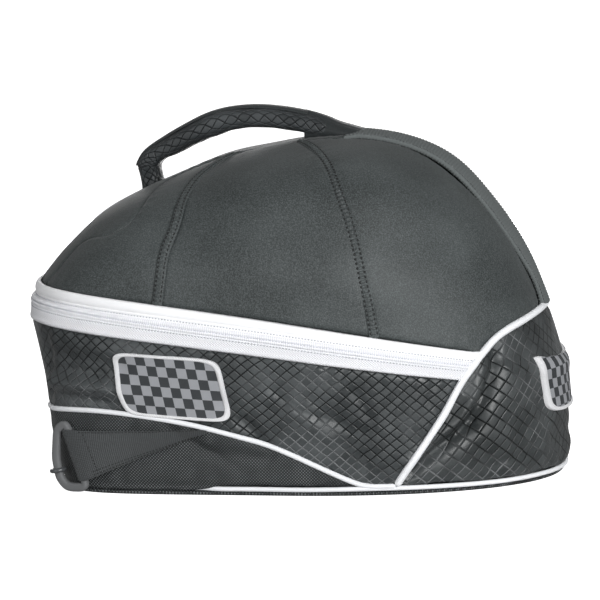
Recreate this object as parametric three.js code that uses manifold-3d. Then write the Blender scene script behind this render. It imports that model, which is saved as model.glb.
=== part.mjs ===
import * as THREE from "three";
import Module from "manifold-3d";

// A soft, domed helmet bag. Lengths are mm, +Z is up and the low, boxy end faces -X.
// The near side, with the strap loop that shows, faces -Y. The far side mirrors it.

// Body
const HALF_LENGTH = 196.5;
const HALF_WIDTH = 135.5;
const CROWN_HEIGHT = 248.5;
const CROWN_SHIFT = 34;
const PANEL_THICKNESS = 2.6;
const PAD_THICKNESS = 3.2;
const BASE_THICKNESS = 3.3;
const GAP = 0.3;
const FOLD_WIDTH = 6;
const FOLD_DEPTH = 3.2;

// Cords along the seams
const BASE_CORD_RADIUS = 1.7;
const REAR_CORD_RADIUS = 2.0;
const LOWER_CORD_RADIUS = 1.4;
const CORD_STAND_OFF = 0.5;
const CORD_END_CLEARANCE = 1;
// The rear panel stands off its cord by this much more, because the cord turns a corner there.
const REAR_SIDE_ROOM = 2;
const REAR_TOP_ROOM = 0.5;

// Zip
const TAPE_THICKNESS = 1.5;
const TAPE_LIFT = 0.8;
const COIL_HEIGHT = 1.6;
const SLIDER_LENGTH = 13;
const SLIDER_WIDTH = 9;
const SLIDER_HEIGHT = 3;
const PULL_LENGTH = 18;
const PULL_WIDTH = 5.4;

// Ribbed spine
const SPINE_RISE = 3.8;
const SPINE_EDGE_RISE = 1.2;

// Handle
const HANDLE_START = -130;
const HANDLE_SPAN = 127;
const HANDLE_RISE = 35;
const GRIP_WIDTH = 27;
const BINDING_WIDTH = 19;
const BINDING_THICKNESS = 1.4;
const FOOT_LENGTH = 17;
const FOOT_SET_BACK = 3;
const GRIP_SQUARENESS = 0.55;

// Strap loop and its ring
const STRAP_THICKNESS = 1.8;
const STRAP_STAND_OFF = 0.55;
const STRAP_HEIGHT = 36;
const RING_BAR_RADIUS = 2.5;
const RING_HEIGHT = 48;
const RING_DEPTH = 17;
const RING_FLOOR_CLEARANCE = 1.2;
const RING_CORNER = 3;
const BEAD_RADIUS = 1.6;

// Rings round the body: how far each reaches, as shares of the half sizes, and how square it is.
const SECTIONS = [
  { level: 0.0, front: 0.844, rear: 0.976, side: 0.934, frontBox: 7.0, taper: 0.098 },
  { level: 0.3, front: 0.898, rear: 0.998, side: 0.969, frontBox: 5.5, taper: 0.08 },
  { level: 0.65, front: 0.938, rear: 0.991, side: 0.993, frontBox: 4.4, taper: 0.078 },
  { level: 1.0, front: 0.998, rear: 0.98, side: 1.0, frontBox: 3.9, taper: 0.073 },
  { level: 1.5, front: 1.0, rear: 0.979, side: 0.989, frontBox: 3.4, taper: 0.07 },
  { level: 2.0, front: 0.979, rear: 0.96, side: 0.963, frontBox: 3.5, taper: 0.08 },
];
const REAR_BOX = 2.2;
// Heights of the same rings at their front, middle and rear, as shares of the crown height.
const SECTION_HEIGHTS = [
  { level: 0.0, front: 0, middle: 0, rear: 0 },
  { level: 0.3, front: 0.149, middle: 0.113, rear: 0.078 },
  { level: 0.65, front: 0.299, middle: 0.246, rear: 0.181 },
  { level: 1.0, front: 0.481, middle: 0.394, rear: 0.276 },
  { level: 1.5, front: 0.535, middle: 0.45, rear: 0.318 },
  { level: 2.0, front: 0.586, middle: 0.495, rear: 0.342 },
];
// The dome above them: how far each ring has drawn in at each share of the way up.
const DOME = [
  { rise: 0, front: 1, rear: 1, side: 1 },
  { rise: 1 / 6, front: 0.9, rear: 0.92, side: 0.975 },
  { rise: 2 / 6, front: 0.776, rear: 0.802, side: 0.889 },
  { rise: 3 / 6, front: 0.59, rear: 0.652, side: 0.774 },
  { rise: 4 / 6, front: 0.412, rear: 0.478, side: 0.57 },
  { rise: 5 / 6, front: 0.18, rear: 0.25, side: 0.3 },
  { rise: 1, front: 0, rear: 0, side: 0 },
];
// Soft folds of the wall: a line from one place to another, both with an angle and a height share.
// Width and depth are shares of the named fold sizes, and depth is negative for a valley.
const FOLDS = [
  { fromAngle: 31, fromHeight: 0.37, toAngle: 38, toHeight: 0.2, width: 1, depth: -1 },
  { fromAngle: 38, fromHeight: 0.2, toAngle: 48, toHeight: 0.11, width: 1, depth: -0.9 },
  { fromAngle: 34.5, fromHeight: 0.35, toAngle: 43, toHeight: 0.18, width: 0.7, depth: 0.5 },
  { fromAngle: 147, fromHeight: 0.31, toAngle: 130, toHeight: 0.3, width: 1, depth: 0.8 },
  { fromAngle: 150, fromHeight: 0.39, toAngle: 131, toHeight: 0.37, width: 1, depth: -0.75 },
  { fromAngle: 148, fromHeight: 0.25, toAngle: 131, toHeight: 0.25, width: 0.7, depth: -0.5 },
  { fromAngle: 106, fromHeight: 0.27, toAngle: 96, toHeight: 0.17, width: 1, depth: -0.6 },
  { fromAngle: 112, fromHeight: 0.13, toAngle: 94, toHeight: 0.11, width: 0.8, depth: -0.55 },
  { fromAngle: 14, fromHeight: 0.12, toAngle: -14, toHeight: 0.12, width: 1.2, depth: -0.6 },
];
const FOLD_TOP_LEVEL = 2.2;
// Seams on the near side. Angle 0 is the rear, 180 the front; level is as in SECTIONS, and 3 is the crown.
const REAR_SEAM = [
  { angle: 57.8, level: 0 },
  { angle: 57, level: 0.06 },
  { angle: 53, level: 0.325 },
  { angle: 48, level: 0.588 },
  { angle: 45, level: 0.75 },
  { angle: 41.5, level: 1.0 },
  { angle: 38, level: 1.5 },
  { angle: 34.5, level: 2.0 },
  { angle: 29.5, level: 2.061 },
  { angle: 22, level: 2.098 },
  { angle: 13, level: 2.125 },
  { angle: 0, level: 2.135 },
];
const LOWER_SEAM = [
  { angle: 180, level: 0.47 },
  { angle: 166, level: 0.475 },
  { angle: 153, level: 0.49 },
  { angle: 136, level: 0.55 },
  { angle: 123.5, level: 0.54 },
  { angle: 110, level: 0.488 },
  { angle: 90, level: 0.363 },
  { angle: 78, level: 0.238 },
  { angle: 65.5, level: 0.088 },
  { angle: 60, level: 0.03 },
];
const FRONT_DOME_SEAM = [
  { angle: 124, level: 2.0 },
  { angle: 126, level: 2.117 },
  { angle: 128.5, level: 2.217 },
  { angle: 131, level: 2.316 },
  { angle: 138.5, level: 2.453 },
  { angle: 145.5, level: 2.54 },
];
const REAR_DOME_SEAM = [
  { angle: 62.5, level: 2.0 },
  { angle: 66, level: 2.105 },
  { angle: 69, level: 2.186 },
  { angle: 74.5, level: 2.341 },
  { angle: 82, level: 2.497 },
  { angle: 94.5, level: 2.677 },
];
// Where two of them end on the strip along the middle, as shares of the half length, and the
// angle at which the spine's edge ends on the rear seam.
const FRONT_SEAM_HEAD = -0.26;
const REAR_SEAM_HEAD = -0.01;
const SPINE_END_ANGLE = 8;
// Near edge of that strip, in plan: shares of the half length and the half width.
const STRIP_EDGE = [
  { x: -0.848, half: 0.668 },
  { x: -0.779, half: 0.627 },
  { x: -0.735, half: 0.651 },
  { x: -0.675, half: 0.707 },
  { x: -0.636, half: 0.725 },
  { x: -0.581, half: 0.714 },
  { x: -0.549, half: 0.643 },
  { x: -0.525, half: 0.498 },
  { x: -0.495, half: 0.295 },
  { x: -0.41, half: 0.2 },
  { x: -0.25, half: 0.185 },
  { x: -0.05, half: 0.185 },
  { x: 0.158, half: 0.192 },
];
// Row of the table above where the wide front of the strip ends and its neck starts.
const STRIP_NECK = 8;
const STRIP_START_ANGLE = 154;
// The columns behind the strap spread this far forward at the floor.
const FOOT_SPREAD_ANGLE = 84;
const SPINE_EDGE = [
  { x: 0.158, half: 0.192 },
  { x: 0.3, half: 0.192 },
  { x: 0.45, half: 0.2 },
  { x: 0.6, half: 0.215 },
  { x: 0.72, half: 0.21 },
  { x: 0.8, half: 0.175 },
  { x: 0.868, half: 0.13 },
];
// Side view of the grip: shares of the span from its start, and of the rise above the strip.
const GRIP = [
  { outerX: 0.0, outerRise: 0.5, innerX: 0.14, innerRise: 0.32 },
  { outerX: 0.012, outerRise: 0.67, innerX: 0.15, innerRise: 0.38 },
  { outerX: 0.065, outerRise: 0.84, innerX: 0.175, innerRise: 0.42 },
  { outerX: 0.2, outerRise: 0.94, innerX: 0.24, innerRise: 0.42 },
  { outerX: 0.32, outerRise: 0.98, innerX: 0.36, innerRise: 0.43 },
  { outerX: 0.45, outerRise: 1.0, innerX: 0.48, innerRise: 0.455 },
  { outerX: 0.6, outerRise: 0.955, innerX: 0.61, innerRise: 0.455 },
  { outerX: 0.745, outerRise: 0.865, innerX: 0.745, innerRise: 0.385 },
  { outerX: 0.88, outerRise: 0.735, innerX: 0.88, innerRise: 0.255 },
  { outerX: 1.0, outerRise: 0.59, innerX: 1.0, innerRise: 0.115 },
];
const REAR_FOOT = [
  { x: 1.0, rise: 0.59, width: 1.0 },
  { x: 1.08, rise: 0.47, width: 1.08 },
  { x: 1.16, rise: 0.34, width: 1.2 },
  { x: 1.22, rise: 0.22, width: 1.35 },
  { x: 1.27, rise: 0.12, width: 1.5 },
];
// Where the strap starts and where it wraps the foot and the head of the ring's bar, which leans
// forward, and how far below the seam it lies.
const STRAP_ROOT_ANGLE = 111;
const STRAP_FOOT_ANGLE = 138.5;
const STRAP_HEAD_ANGLE = 141.5;
const STRAP_UPPER_DROP = 0.045;
const STRAP_ROOT_DROP = 0.1;
// Middle line of the ring in its own plane: shares of its depth and of its height.
const RING = [
  { depth: 0.0, height: 0.06 },
  { depth: 0.0, height: 0.95 },
  { depth: 0.1, height: 1.0 },
  { depth: 0.46, height: 0.95 },
  { depth: 0.89, height: 0.57 },
  { depth: 1.0, height: 0.27 },
  { depth: 0.84, height: 0.11 },
  { depth: 0.62, height: 0.05 },
  { depth: 0.15, height: 0.03 },
];
// Rows of that table between which the bead sits, and how far along.
const BEAD_ROWS = [4, 5];
const BEAD_SHARE = 0.62;

// How finely each piece is cut. Pieces that share a seam share its corners, so these counts are shared too.
const REAR_COLUMNS = 10;
const MIDDLE_COLUMNS = 8;
const FRONT_COLUMNS = 6;
const STRIP_COLUMNS = 6;
const TAIL_COLUMNS = 2;
const DOME_ROWS = 8;
const SIDE_ROWS = 4;
const LOWER_ROWS = 2;
const SPINE_COLUMNS = 4;
const BASE_COLUMNS = 54;
const STRAP_COLUMNS = 10;
const GRIP_SIDES = 12;
// Rows of the front dome panel crowd towards the zip by this power.
const FRONT_ROW_POWER = 1.45;
// Columns of the lower panel stop where it gets narrower than this many levels.
const LOWER_LEAST_LEVELS = 0.08;
// How far apart, in levels, the skin is read to find its way out. It smooths the crease over the zip.
const NORMAL_STEP = 0.04;
// Levels of the zip's long edges, from its foot to its head.
const ZIP_LEVELS = [1, 1.36, 1.68, 2];

const wasm = await Module();
wasm.setup();

const radians = THREE.MathUtils.degToRad;
const mix = (a, b, share) => a + (b - a) * share;
const clamp = (value) => Math.min(Math.max(value, 0), 1);
const TINY = 1e-6;
// First guess of an inset, and the most of a cell that it may take.
const INSET_STEP = 0.01;
const MOST_INSET = 0.8;

// Reads every column of a table at one value of its first column, along a smooth curve through the rows.
function readRow(table, at) {
  const columns = Object.keys(table[0]);
  const key = columns[0];
  const last = table.length - 1;
  let i = 0;
  while (i < last - 1 && at > table[i + 1][key]) i += 1;
  const span = table[i + 1][key] - table[i][key];
  const t = clamp((at - table[i][key]) / span);
  const slope = (column, k) => {
    const low = Math.max(k - 1, 0);
    const high = Math.min(k + 1, last);
    return (table[high][column] - table[low][column]) / (table[high][key] - table[low][key]);
  };
  const row = {};
  for (const column of columns) {
    const a = table[i][column];
    const b = table[i + 1][column];
    row[column] =
      (2 * t ** 3 - 3 * t ** 2 + 1) * a +
      (t ** 3 - 2 * t ** 2 + t) * span * slope(column, i) +
      (3 * t ** 2 - 2 * t ** 3) * b +
      (t ** 3 - t ** 2) * span * slope(column, i + 1);
  }
  return row;
}

// The smooth body at a place given as an angle and a level.
function bodyAt(angle, level) {
  const row = readRow(SECTIONS, Math.min(level, 2));
  const height = readRow(SECTION_HEIGHTS, Math.min(level, 2));
  const rise = clamp(level - 2);
  const cap = readRow(DOME, rise);
  const lift = Math.sin((rise * Math.PI) / 2);
  const middle = CROWN_SHIFT * lift;
  const cos = Math.cos(radians(angle));
  const sin = Math.sin(radians(angle));
  const rearwards = (row.rear * HALF_LENGTH - middle) * cap.rear;
  const forwards = (row.front * HALF_LENGTH + middle) * cap.front;
  const along = Math.max(cos >= 0 ? rearwards : forwards, TINY);
  const across = Math.max(row.side * HALF_WIDTH * cap.side, TINY);
  const box = mix(cos >= 0 ? REAR_BOX : row.frontBox, 2, lift);
  const reach = ((Math.abs(cos) / along) ** box + (Math.abs(sin) / across) ** box) ** (-1 / box);
  const x = reach * cos;
  const y = -reach * sin * (1 - (row.taper * (1 - lift) * x) / HALF_LENGTH);
  const share = (x + middle) / HALF_LENGTH;
  const slope = (height.rear - height.front) / 2;
  const curve = (height.rear + height.front) / 2 - height.middle;
  const low = height.middle + slope * share + curve * share ** 2;
  return new THREE.Vector3(x + middle, y, mix(low, 1, lift) * CROWN_HEIGHT);
}

// The same place on a flat disk: the crown in the middle, the base round the rim.
const toDisk = ({ angle, level }) =>
  new THREE.Vector2(Math.cos(radians(angle)), Math.sin(radians(angle))).multiplyScalar(3 - level);
const fromDisk = (disk) => ({
  angle: THREE.MathUtils.radToDeg(Math.atan2(disk.y, disk.x)),
  level: 3 - disk.length(),
});
const bodyAtDisk = (disk) => {
  const place = fromDisk(disk);
  return bodyAt(place.angle, place.level);
};

// How far the folds lift the skin at a place. A fold that crosses the middle is met twice.
function foldDepth(angle, z) {
  const perDegree = radians(HALF_WIDTH);
  const spot = new THREE.Vector2(angle * perDegree, z);
  let depth = 0;
  for (const fold of FOLDS) {
    for (const side of [1, -1]) {
      const from = new THREE.Vector2(side * fold.fromAngle * perDegree, fold.fromHeight * CROWN_HEIGHT);
      const to = new THREE.Vector2(side * fold.toAngle * perDegree, fold.toHeight * CROWN_HEIGHT);
      const run = to.clone().sub(from);
      const share = clamp(spot.clone().sub(from).dot(run) / run.lengthSq());
      const away = spot.distanceTo(from.clone().addScaledVector(run, share)) / (fold.width * FOLD_WIDTH);
      const crossing = fold.toAngle < 0 ? 2 : 1;
      depth += (fold.depth * FOLD_DEPTH * Math.exp(-(away ** 2))) / crossing;
    }
  }
  return depth;
}

// A point at some height off the folded skin, and the way out there.
function skinAt(disk, height) {
  const point = bodyAtDisk(disk);
  const slope = (x, y) => {
    const step = new THREE.Vector2(x, y);
    return bodyAtDisk(disk.clone().add(step)).sub(bodyAtDisk(disk.clone().sub(step)));
  };
  const out = slope(0, NORMAL_STEP).cross(slope(NORMAL_STEP, 0)).normalize();
  const place = fromDisk(disk);
  const fold = place.level < FOLD_TOP_LEVEL ? foldDepth(place.angle, point.z) : 0;
  return { point: point.addScaledVector(out, height + fold), out };
}

// Places spread over the dome, to start a search from.
const domePlaces = [];
for (let angle = 0; angle < 360; angle += 6) {
  for (let level = 2; level < 3; level += 0.04) {
    const disk = toDisk({ angle, level });
    domePlaces.push({ disk, point: bodyAtDisk(disk) });
  }
}

// The disk place over a point of the plan: the nearest known place, then small steps to it.
function overPlan(x, y) {
  const away = ({ point }) => Math.hypot(point.x - x, point.y - y);
  const disk = domePlaces.reduce((best, place) => (away(place) < away(best) ? place : best)).disk.clone();
  const step = 1e-4;
  for (let round = 0; round < 20; round += 1) {
    const at = bodyAtDisk(disk);
    const dx = bodyAtDisk(new THREE.Vector2(disk.x + step, disk.y)).sub(at).divideScalar(step);
    const dy = bodyAtDisk(new THREE.Vector2(disk.x, disk.y + step)).sub(at).divideScalar(step);
    const size = dx.x * dy.y - dx.y * dy.x;
    const ex = x - at.x;
    const ey = y - at.y;
    const move = new THREE.Vector2(ex * dy.y - ey * dy.x, dx.x * ey - dx.y * ex).divideScalar(size);
    disk.add(move.clampLength(0, 0.03));
  }
  return disk;
}

// The level at which the wall reaches a height.
function levelAtHeight(angle, z) {
  let low = 0;
  let high = 1;
  for (let round = 0; round < 30; round += 1) {
    const middle = (low + high) / 2;
    if (bodyAt(angle, middle).z < z) low = middle;
    else high = middle;
  }
  return low;
}

// A seam through disk places, read by its share of the length along the skin.
class Seam {
  constructor(disks) {
    const spots = disks.map((disk) => new THREE.Vector3(disk.x, disk.y, 0));
    const curve = new THREE.CatmullRomCurve3(spots, false, "centripetal");
    const count = 120;
    this.disks = [];
    this.lengths = [0];
    let before = null;
    for (let i = 0; i <= count; i += 1) {
      const at = curve.getPoint(i / count);
      const disk = new THREE.Vector2(at.x, at.y);
      const point = bodyAtDisk(disk);
      if (before) this.lengths.push(this.lengths[i - 1] + point.distanceTo(before));
      before = point;
      this.disks.push(disk);
    }
    this.length = this.lengths[count];
  }

  at(share) {
    const goal = clamp(share) * this.length;
    let i = 0;
    while (i < this.disks.length - 2 && this.lengths[i + 1] < goal) i += 1;
    const span = this.lengths[i + 1] - this.lengths[i];
    const part = span > 0 ? clamp((goal - this.lengths[i]) / span) : 0;
    return this.disks[i].clone().lerp(this.disks[i + 1], part);
  }

  // The share at which a test of the disk place first holds.
  shareWhere(test) {
    const steps = 100;
    let i = 0;
    while (i < steps && !test(this.at(i / steps))) i += 1;
    let low = Math.max(i - 1, 0) / steps;
    let high = i / steps;
    for (let round = 0; round < 25; round += 1) {
      const middle = (low + high) / 2;
      if (test(this.at(middle))) high = middle;
      else low = middle;
    }
    return high;
  }

  // Places between two shares, evenly spaced or, with a power over one, closer at the start.
  places(from, to, count, power = 1) {
    return Array.from({ length: count + 1 }, (_, i) => this.at(mix(from, to, (i / count) ** power)));
  }
}

// An edge through a list of places, at even steps.
const through = (places) => (share) => {
  const at = share * (places.length - 1);
  const i = Math.min(Math.floor(at + 1e-9), places.length - 2);
  return places[i].clone().lerp(places[i + 1], clamp(at - i));
};
const flipped = (disk) => new THREE.Vector2(disk.x, -disk.y);
const withMirror = (places) => [...places, ...places.slice(0, -1).reverse().map(flipped)];
const mirrored = (edge) => (share) => flipped(edge(share));
const polar = (fromAngle, toAngle, levelOf) => (share) => {
  const angle = mix(fromAngle, toAngle, share);
  return toDisk({ angle, level: levelOf(angle) });
};

// Fills the space inside four edges that meet at their corners.
function patch(bottom, top, left, right) {
  const corner = [bottom(0), bottom(1), top(0), top(1)];
  return (u, v) => {
    const disk = bottom(u).multiplyScalar(1 - v);
    disk.addScaledVector(top(u), v);
    disk.addScaledVector(left(v), 1 - u);
    disk.addScaledVector(right(v), u);
    disk.addScaledVector(corner[0], -(1 - u) * (1 - v));
    disk.addScaledVector(corner[1], -u * (1 - v));
    disk.addScaledVector(corner[2], -(1 - u) * v);
    return disk.addScaledVector(corner[3], -u * v);
  };
}

const group = new THREE.Group();
group.name = "helmet_bag";

function addPiece(name, geometry, colour, roughness = 0.85) {
  geometry.computeVertexNormals();
  const mesh = new THREE.Mesh(geometry, new THREE.MeshStandardMaterial({ color: colour, roughness }));
  mesh.name = name;
  group.add(mesh);
  return mesh;
}

// Makes a geometry from points and triangles, facing out.
function solid(points, faces) {
  let volume = 0;
  for (const [a, b, c] of faces) volume += points[a].dot(points[b].clone().cross(points[c]));
  const numbers = points.flatMap((point) => point.toArray());
  const geometry = new THREE.BufferGeometry();
  geometry.setAttribute("position", new THREE.Float32BufferAttribute(numbers, 3));
  geometry.setIndex(faces.flatMap(([a, b, c]) => (volume > 0 ? [a, b, c] : [a, c, b])));
  return geometry;
}

// The same solid on the far side.
function mirrorSolid(geometry) {
  const copy = geometry.clone();
  const position = copy.getAttribute("position");
  for (let i = 0; i < position.count; i += 1) position.setY(i, -position.getY(i));
  const index = copy.getIndex();
  for (let i = 0; i < index.count; i += 3) {
    const b = index.getX(i + 1);
    index.setX(i + 1, index.getX(i + 2));
    index.setX(i + 2, b);
  }
  return copy;
}

// A sheet of cloth over a region of the skin, set back from its edges.
function sheet(region, columns, rows, { thickness, lift = () => 0, inset }) {
  const places = [];
  for (let i = 0; i <= columns; i += 1) {
    places.push([]);
    for (let j = 0; j <= rows; j += 1) places[i].push(region(i / columns, j / rows));
  }
  // Moves an edge place inwards, by an amount measured square to the edge.
  const draw = (edge, inner, amount) => {
    const spots = edge.map(bodyAtDisk);
    edge.forEach((place, k) => {
      const before = spots[Math.max(k - 1, 0)];
      const along = spots[Math.min(k + 1, edge.length - 1)].clone().sub(before).normalize();
      let share = 0;
      for (let round = 0; round < 8; round += 1) {
        const inwards = bodyAtDisk(place.clone().lerp(inner[k], share + INSET_STEP)).sub(spots[k]);
        const square = inwards.addScaledVector(along, -inwards.dot(along)).length();
        share = Math.min(((share + INSET_STEP) * amount) / square, MOST_INSET);
      }
      place.lerp(inner[k], share);
    });
  };
  draw(places[0], places[1], inset.left);
  draw(places[columns], places[columns - 1], inset.right);
  const rowAt = (j) => places.map((column) => column[j]);
  draw(rowAt(0), rowAt(1), inset.bottom);
  draw(rowAt(rows), rowAt(rows - 1), inset.top);
  const points = [];
  const number = (side, i, j) => side * (columns + 1) * (rows + 1) + i * (rows + 1) + j;
  for (const side of [0, 1]) {
    for (let i = 0; i <= columns; i += 1) {
      for (let j = 0; j <= rows; j += 1) {
        const height = side ? -thickness : lift(i / columns, j / rows);
        points.push(skinAt(places[i][j], height).point);
      }
    }
  }
  const faces = [];
  const quad = (a, b, c, d) => faces.push([a, b, c], [a, c, d]);
  // An edge wall between two columns or rows. Both neighbours of a seam cut it along the same diagonal.
  const wall = (outerA, innerA, innerB, outerB) => {
    if (points[outerA].x < points[outerB].x) quad(outerA, innerA, innerB, outerB);
    else quad(innerA, innerB, outerB, outerA);
  };
  for (let i = 0; i < columns; i += 1) {
    for (let j = 0; j < rows; j += 1) {
      quad(number(0, i, j), number(0, i + 1, j), number(0, i + 1, j + 1), number(0, i, j + 1));
      quad(number(1, i, j), number(1, i, j + 1), number(1, i + 1, j + 1), number(1, i + 1, j));
    }
    wall(number(0, i, 0), number(1, i, 0), number(1, i + 1, 0), number(0, i + 1, 0));
    wall(number(0, i + 1, rows), number(1, i + 1, rows), number(1, i, rows), number(0, i, rows));
  }
  for (let j = 0; j < rows; j += 1) {
    wall(number(0, 0, j + 1), number(1, 0, j + 1), number(1, 0, j), number(0, 0, j));
    wall(number(0, columns, j), number(1, columns, j), number(1, columns, j + 1), number(0, columns, j + 1));
  }
  return solid(points, faces);
}

// Joins rings of points, one after the other. Open ends are closed with a fan to a middle point.
function loft(rings, { closed = false, ends = null } = {}) {
  const points = rings.flat();
  const size = rings[0].length;
  const faces = [];
  const last = closed ? rings.length : rings.length - 1;
  for (let k = 0; k < last; k += 1) {
    const next = (k + 1) % rings.length;
    for (let i = 0; i < size; i += 1) {
      const a = k * size + i;
      const b = k * size + ((i + 1) % size);
      const c = next * size + ((i + 1) % size);
      const d = next * size + i;
      faces.push([a, b, c], [a, c, d]);
    }
  }
  if (!closed) {
    for (const k of [0, rings.length - 1]) {
      const middle = new THREE.Vector3();
      for (const point of rings[k]) middle.addScaledVector(point, 1 / size);
      const given = ends && (k === 0 ? ends.start : ends.end);
      points.push(given || middle);
      const hub = points.length - 1;
      for (let i = 0; i < size; i += 1) {
        const a = k * size + i;
        const b = k * size + ((i + 1) % size);
        faces.push(k === 0 ? [hub, b, a] : [hub, a, b]);
      }
    }
  }
  return solid(points, faces);
}

// A round cord through middle points, with the outward way at each to keep its rings from twisting.
function cord(middles, outs, radius, sides, closed = false) {
  const count = middles.length;
  const rings = middles.map((middle, k) => {
    const before = middles[closed ? (k + count - 1) % count : Math.max(k - 1, 0)];
    const after = middles[closed ? (k + 1) % count : Math.min(k + 1, count - 1)];
    const run = after.clone().sub(before).normalize();
    const across = new THREE.Vector3().crossVectors(run, outs[k]).normalize();
    const up = new THREE.Vector3().crossVectors(across, run);
    return Array.from({ length: sides }, (_, i) => {
      const turn = (2 * Math.PI * (i + 0.5)) / sides;
      const spoke = across.clone().multiplyScalar(Math.cos(turn)).addScaledVector(up, Math.sin(turn));
      return middle.clone().addScaledVector(spoke, radius);
    });
  });
  return loft(rings, { closed });
}

// A cord that lies on the skin along disk places.
function seamCord(places, radius, sides) {
  const middles = [];
  const outs = [];
  for (const place of places) {
    const { point, out } = skinAt(place, CORD_STAND_OFF);
    middles.push(point);
    outs.push(out);
  }
  return cord(middles, outs, radius, sides);
}

// Turns a geometry into a solid that can be joined or cut, and back.
function asManifold(geometry) {
  return new wasm.Manifold(
    new wasm.Mesh({
      numProp: 3,
      vertProperties: new Float32Array(geometry.getAttribute("position").array),
      triVerts: new Uint32Array(geometry.getIndex().array),
    }),
  );
}

function fromManifold(whole) {
  const mesh = whole.getMesh();
  const geometry = new THREE.BufferGeometry();
  geometry.setAttribute("position", new THREE.Float32BufferAttribute(mesh.vertProperties, 3));
  geometry.setIndex(Array.from(mesh.triVerts));
  return geometry;
}

const SOFT = "#33383a";
const RIPSTOP = "#3a3e40";
const BALLISTIC = "#2d3032";
const WHITE = "#dcdfe2";
const RIBBED = "#34383a";
const WEBBING = "#3b3e40";
const PLASTIC = "#2a2d2f";

const wallFoot = BASE_THICKNESS + 2 * BASE_CORD_RADIUS + 2 * GAP;
const footLevel = (angle) => levelAtHeight(angle, wallFoot);
const half = GAP / 2;
const besideRear = REAR_CORD_RADIUS + 1.3 * GAP;
const besideLower = LOWER_CORD_RADIUS + GAP;

const lowerRows = LOWER_SEAM.map(({ angle, level }) => ({ fromFront: 180 - angle, level }));
const lowerLevel = (angle) => readRow(lowerRows, Math.abs(180 - angle)).level;
const lowerEnd = LOWER_SEAM.at(-1).angle;
const rearSeam = new Seam(REAR_SEAM.map(toDisk));
const lowerSeam = new Seam(
  Array.from({ length: 61 }, (_, i) => {
    const angle = mix(180, lowerEnd, i / 60);
    return toDisk({ angle, level: lowerLevel(angle) });
  }),
);
const levelShare = (level) => rearSeam.shareWhere((disk) => fromDisk(disk).level >= level);
const rearAngle = (level) => fromDisk(rearSeam.at(levelShare(level))).angle;
const rearFoot = rearSeam.shareWhere((disk) => bodyAtDisk(disk).z >= wallFoot);
const rearFootLevel = fromDisk(rearSeam.at(rearFoot)).level;
const rearHead = levelShare(2);
const spineShare = rearSeam.shareWhere((disk) => fromDisk(disk).angle < SPINE_END_ANGLE);

const edgeDisks = (rows) => rows.map((row) => overPlan(row.x * HALF_LENGTH, -row.half * HALF_WIDTH));
const stripDisks = [toDisk({ angle: STRIP_START_ANGLE, level: 2 }), ...edgeDisks(STRIP_EDGE)];
const stripSeam = new Seam(stripDisks);
const spineSeam = new Seam([...edgeDisks(SPINE_EDGE), rearSeam.at(spineShare)]);
const behind = (x) => stripSeam.shareWhere((disk) => bodyAtDisk(disk).x > x * HALF_LENGTH);
const neckStart = behind(STRIP_EDGE[STRIP_NECK].x);
const frontMeet = behind(FRONT_SEAM_HEAD);
const rearMeet = behind(REAR_SEAM_HEAD);
const frontDomeSeam = new Seam([...FRONT_DOME_SEAM.map(toDisk), stripSeam.at(frontMeet)]);
const rearDomeSeam = new Seam([...REAR_DOME_SEAM.map(toDisk), stripSeam.at(rearMeet)]);

// Places that neighbours share
const headPlaces = stripSeam.places(0, neckStart, DOME_ROWS);
const neckPlaces = stripSeam.places(neckStart, frontMeet, FRONT_COLUMNS);
const ridgePlaces = stripSeam.places(frontMeet, rearMeet, MIDDLE_COLUMNS);
const tailPlaces = stripSeam.places(rearMeet, 1, TAIL_COLUMNS);
const spinePlaces = spineSeam.places(0, 1, REAR_COLUMNS - TAIL_COLUMNS);
const rearSidePlaces = Array.from({ length: SIDE_ROWS + 1 }, (_, k) =>
  rearSeam.at(levelShare(mix(rearFootLevel, 1, k / SIDE_ROWS))),
);
const rearZipPlaces = ZIP_LEVELS.map((level) => rearSeam.at(levelShare(level)));
const rearDomePlaces = rearSeam.places(rearHead, spineShare, DOME_ROWS);
const rearTopPlaces = rearSeam.places(spineShare, 1, SPINE_COLUMNS / 2);

const frontAngle = FRONT_DOME_SEAM[0].angle;
const middleAngle = REAR_DOME_SEAM[0].angle;
const wrapColumns = 2 * (REAR_COLUMNS + MIDDLE_COLUMNS + FRONT_COLUMNS) + STRIP_COLUMNS;
// The angle of one of the columns that run round the front, between the two ends of the rear seam.
function columnAngle(column, level) {
  if (column > wrapColumns / 2) return 360 - columnAngle(wrapColumns - column, level);
  const spread = mix(FOOT_SPREAD_ANGLE, middleAngle, clamp(level / 2));
  const blocks = [
    [REAR_COLUMNS, rearAngle(level), spread],
    [MIDDLE_COLUMNS, spread, frontAngle],
    [FRONT_COLUMNS, frontAngle, STRIP_START_ANGLE],
    [STRIP_COLUMNS, STRIP_START_ANGLE, 360 - STRIP_START_ANGLE],
  ];
  let rest = column;
  for (const [count, from, to] of blocks) {
    if (rest <= count) return mix(from, to, rest / count);
    rest -= count;
  }
  return 180;
}
const hasLower = (angle) => Math.abs(180 - angle) < 180 - lowerEnd;
const lowEdge = (angle) => Math.max(footLevel(angle), hasLower(angle) ? lowerLevel(angle) : 0);
// Where each column meets the foot of the side panel.
const lowPlaces = Array.from({ length: wrapColumns + 1 }, (_, column) => {
  let level = rearFootLevel;
  for (let round = 0; round < 6; round += 1) level = lowEdge(columnAngle(column, level));
  return { angle: columnAngle(column, level), level };
});

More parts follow.
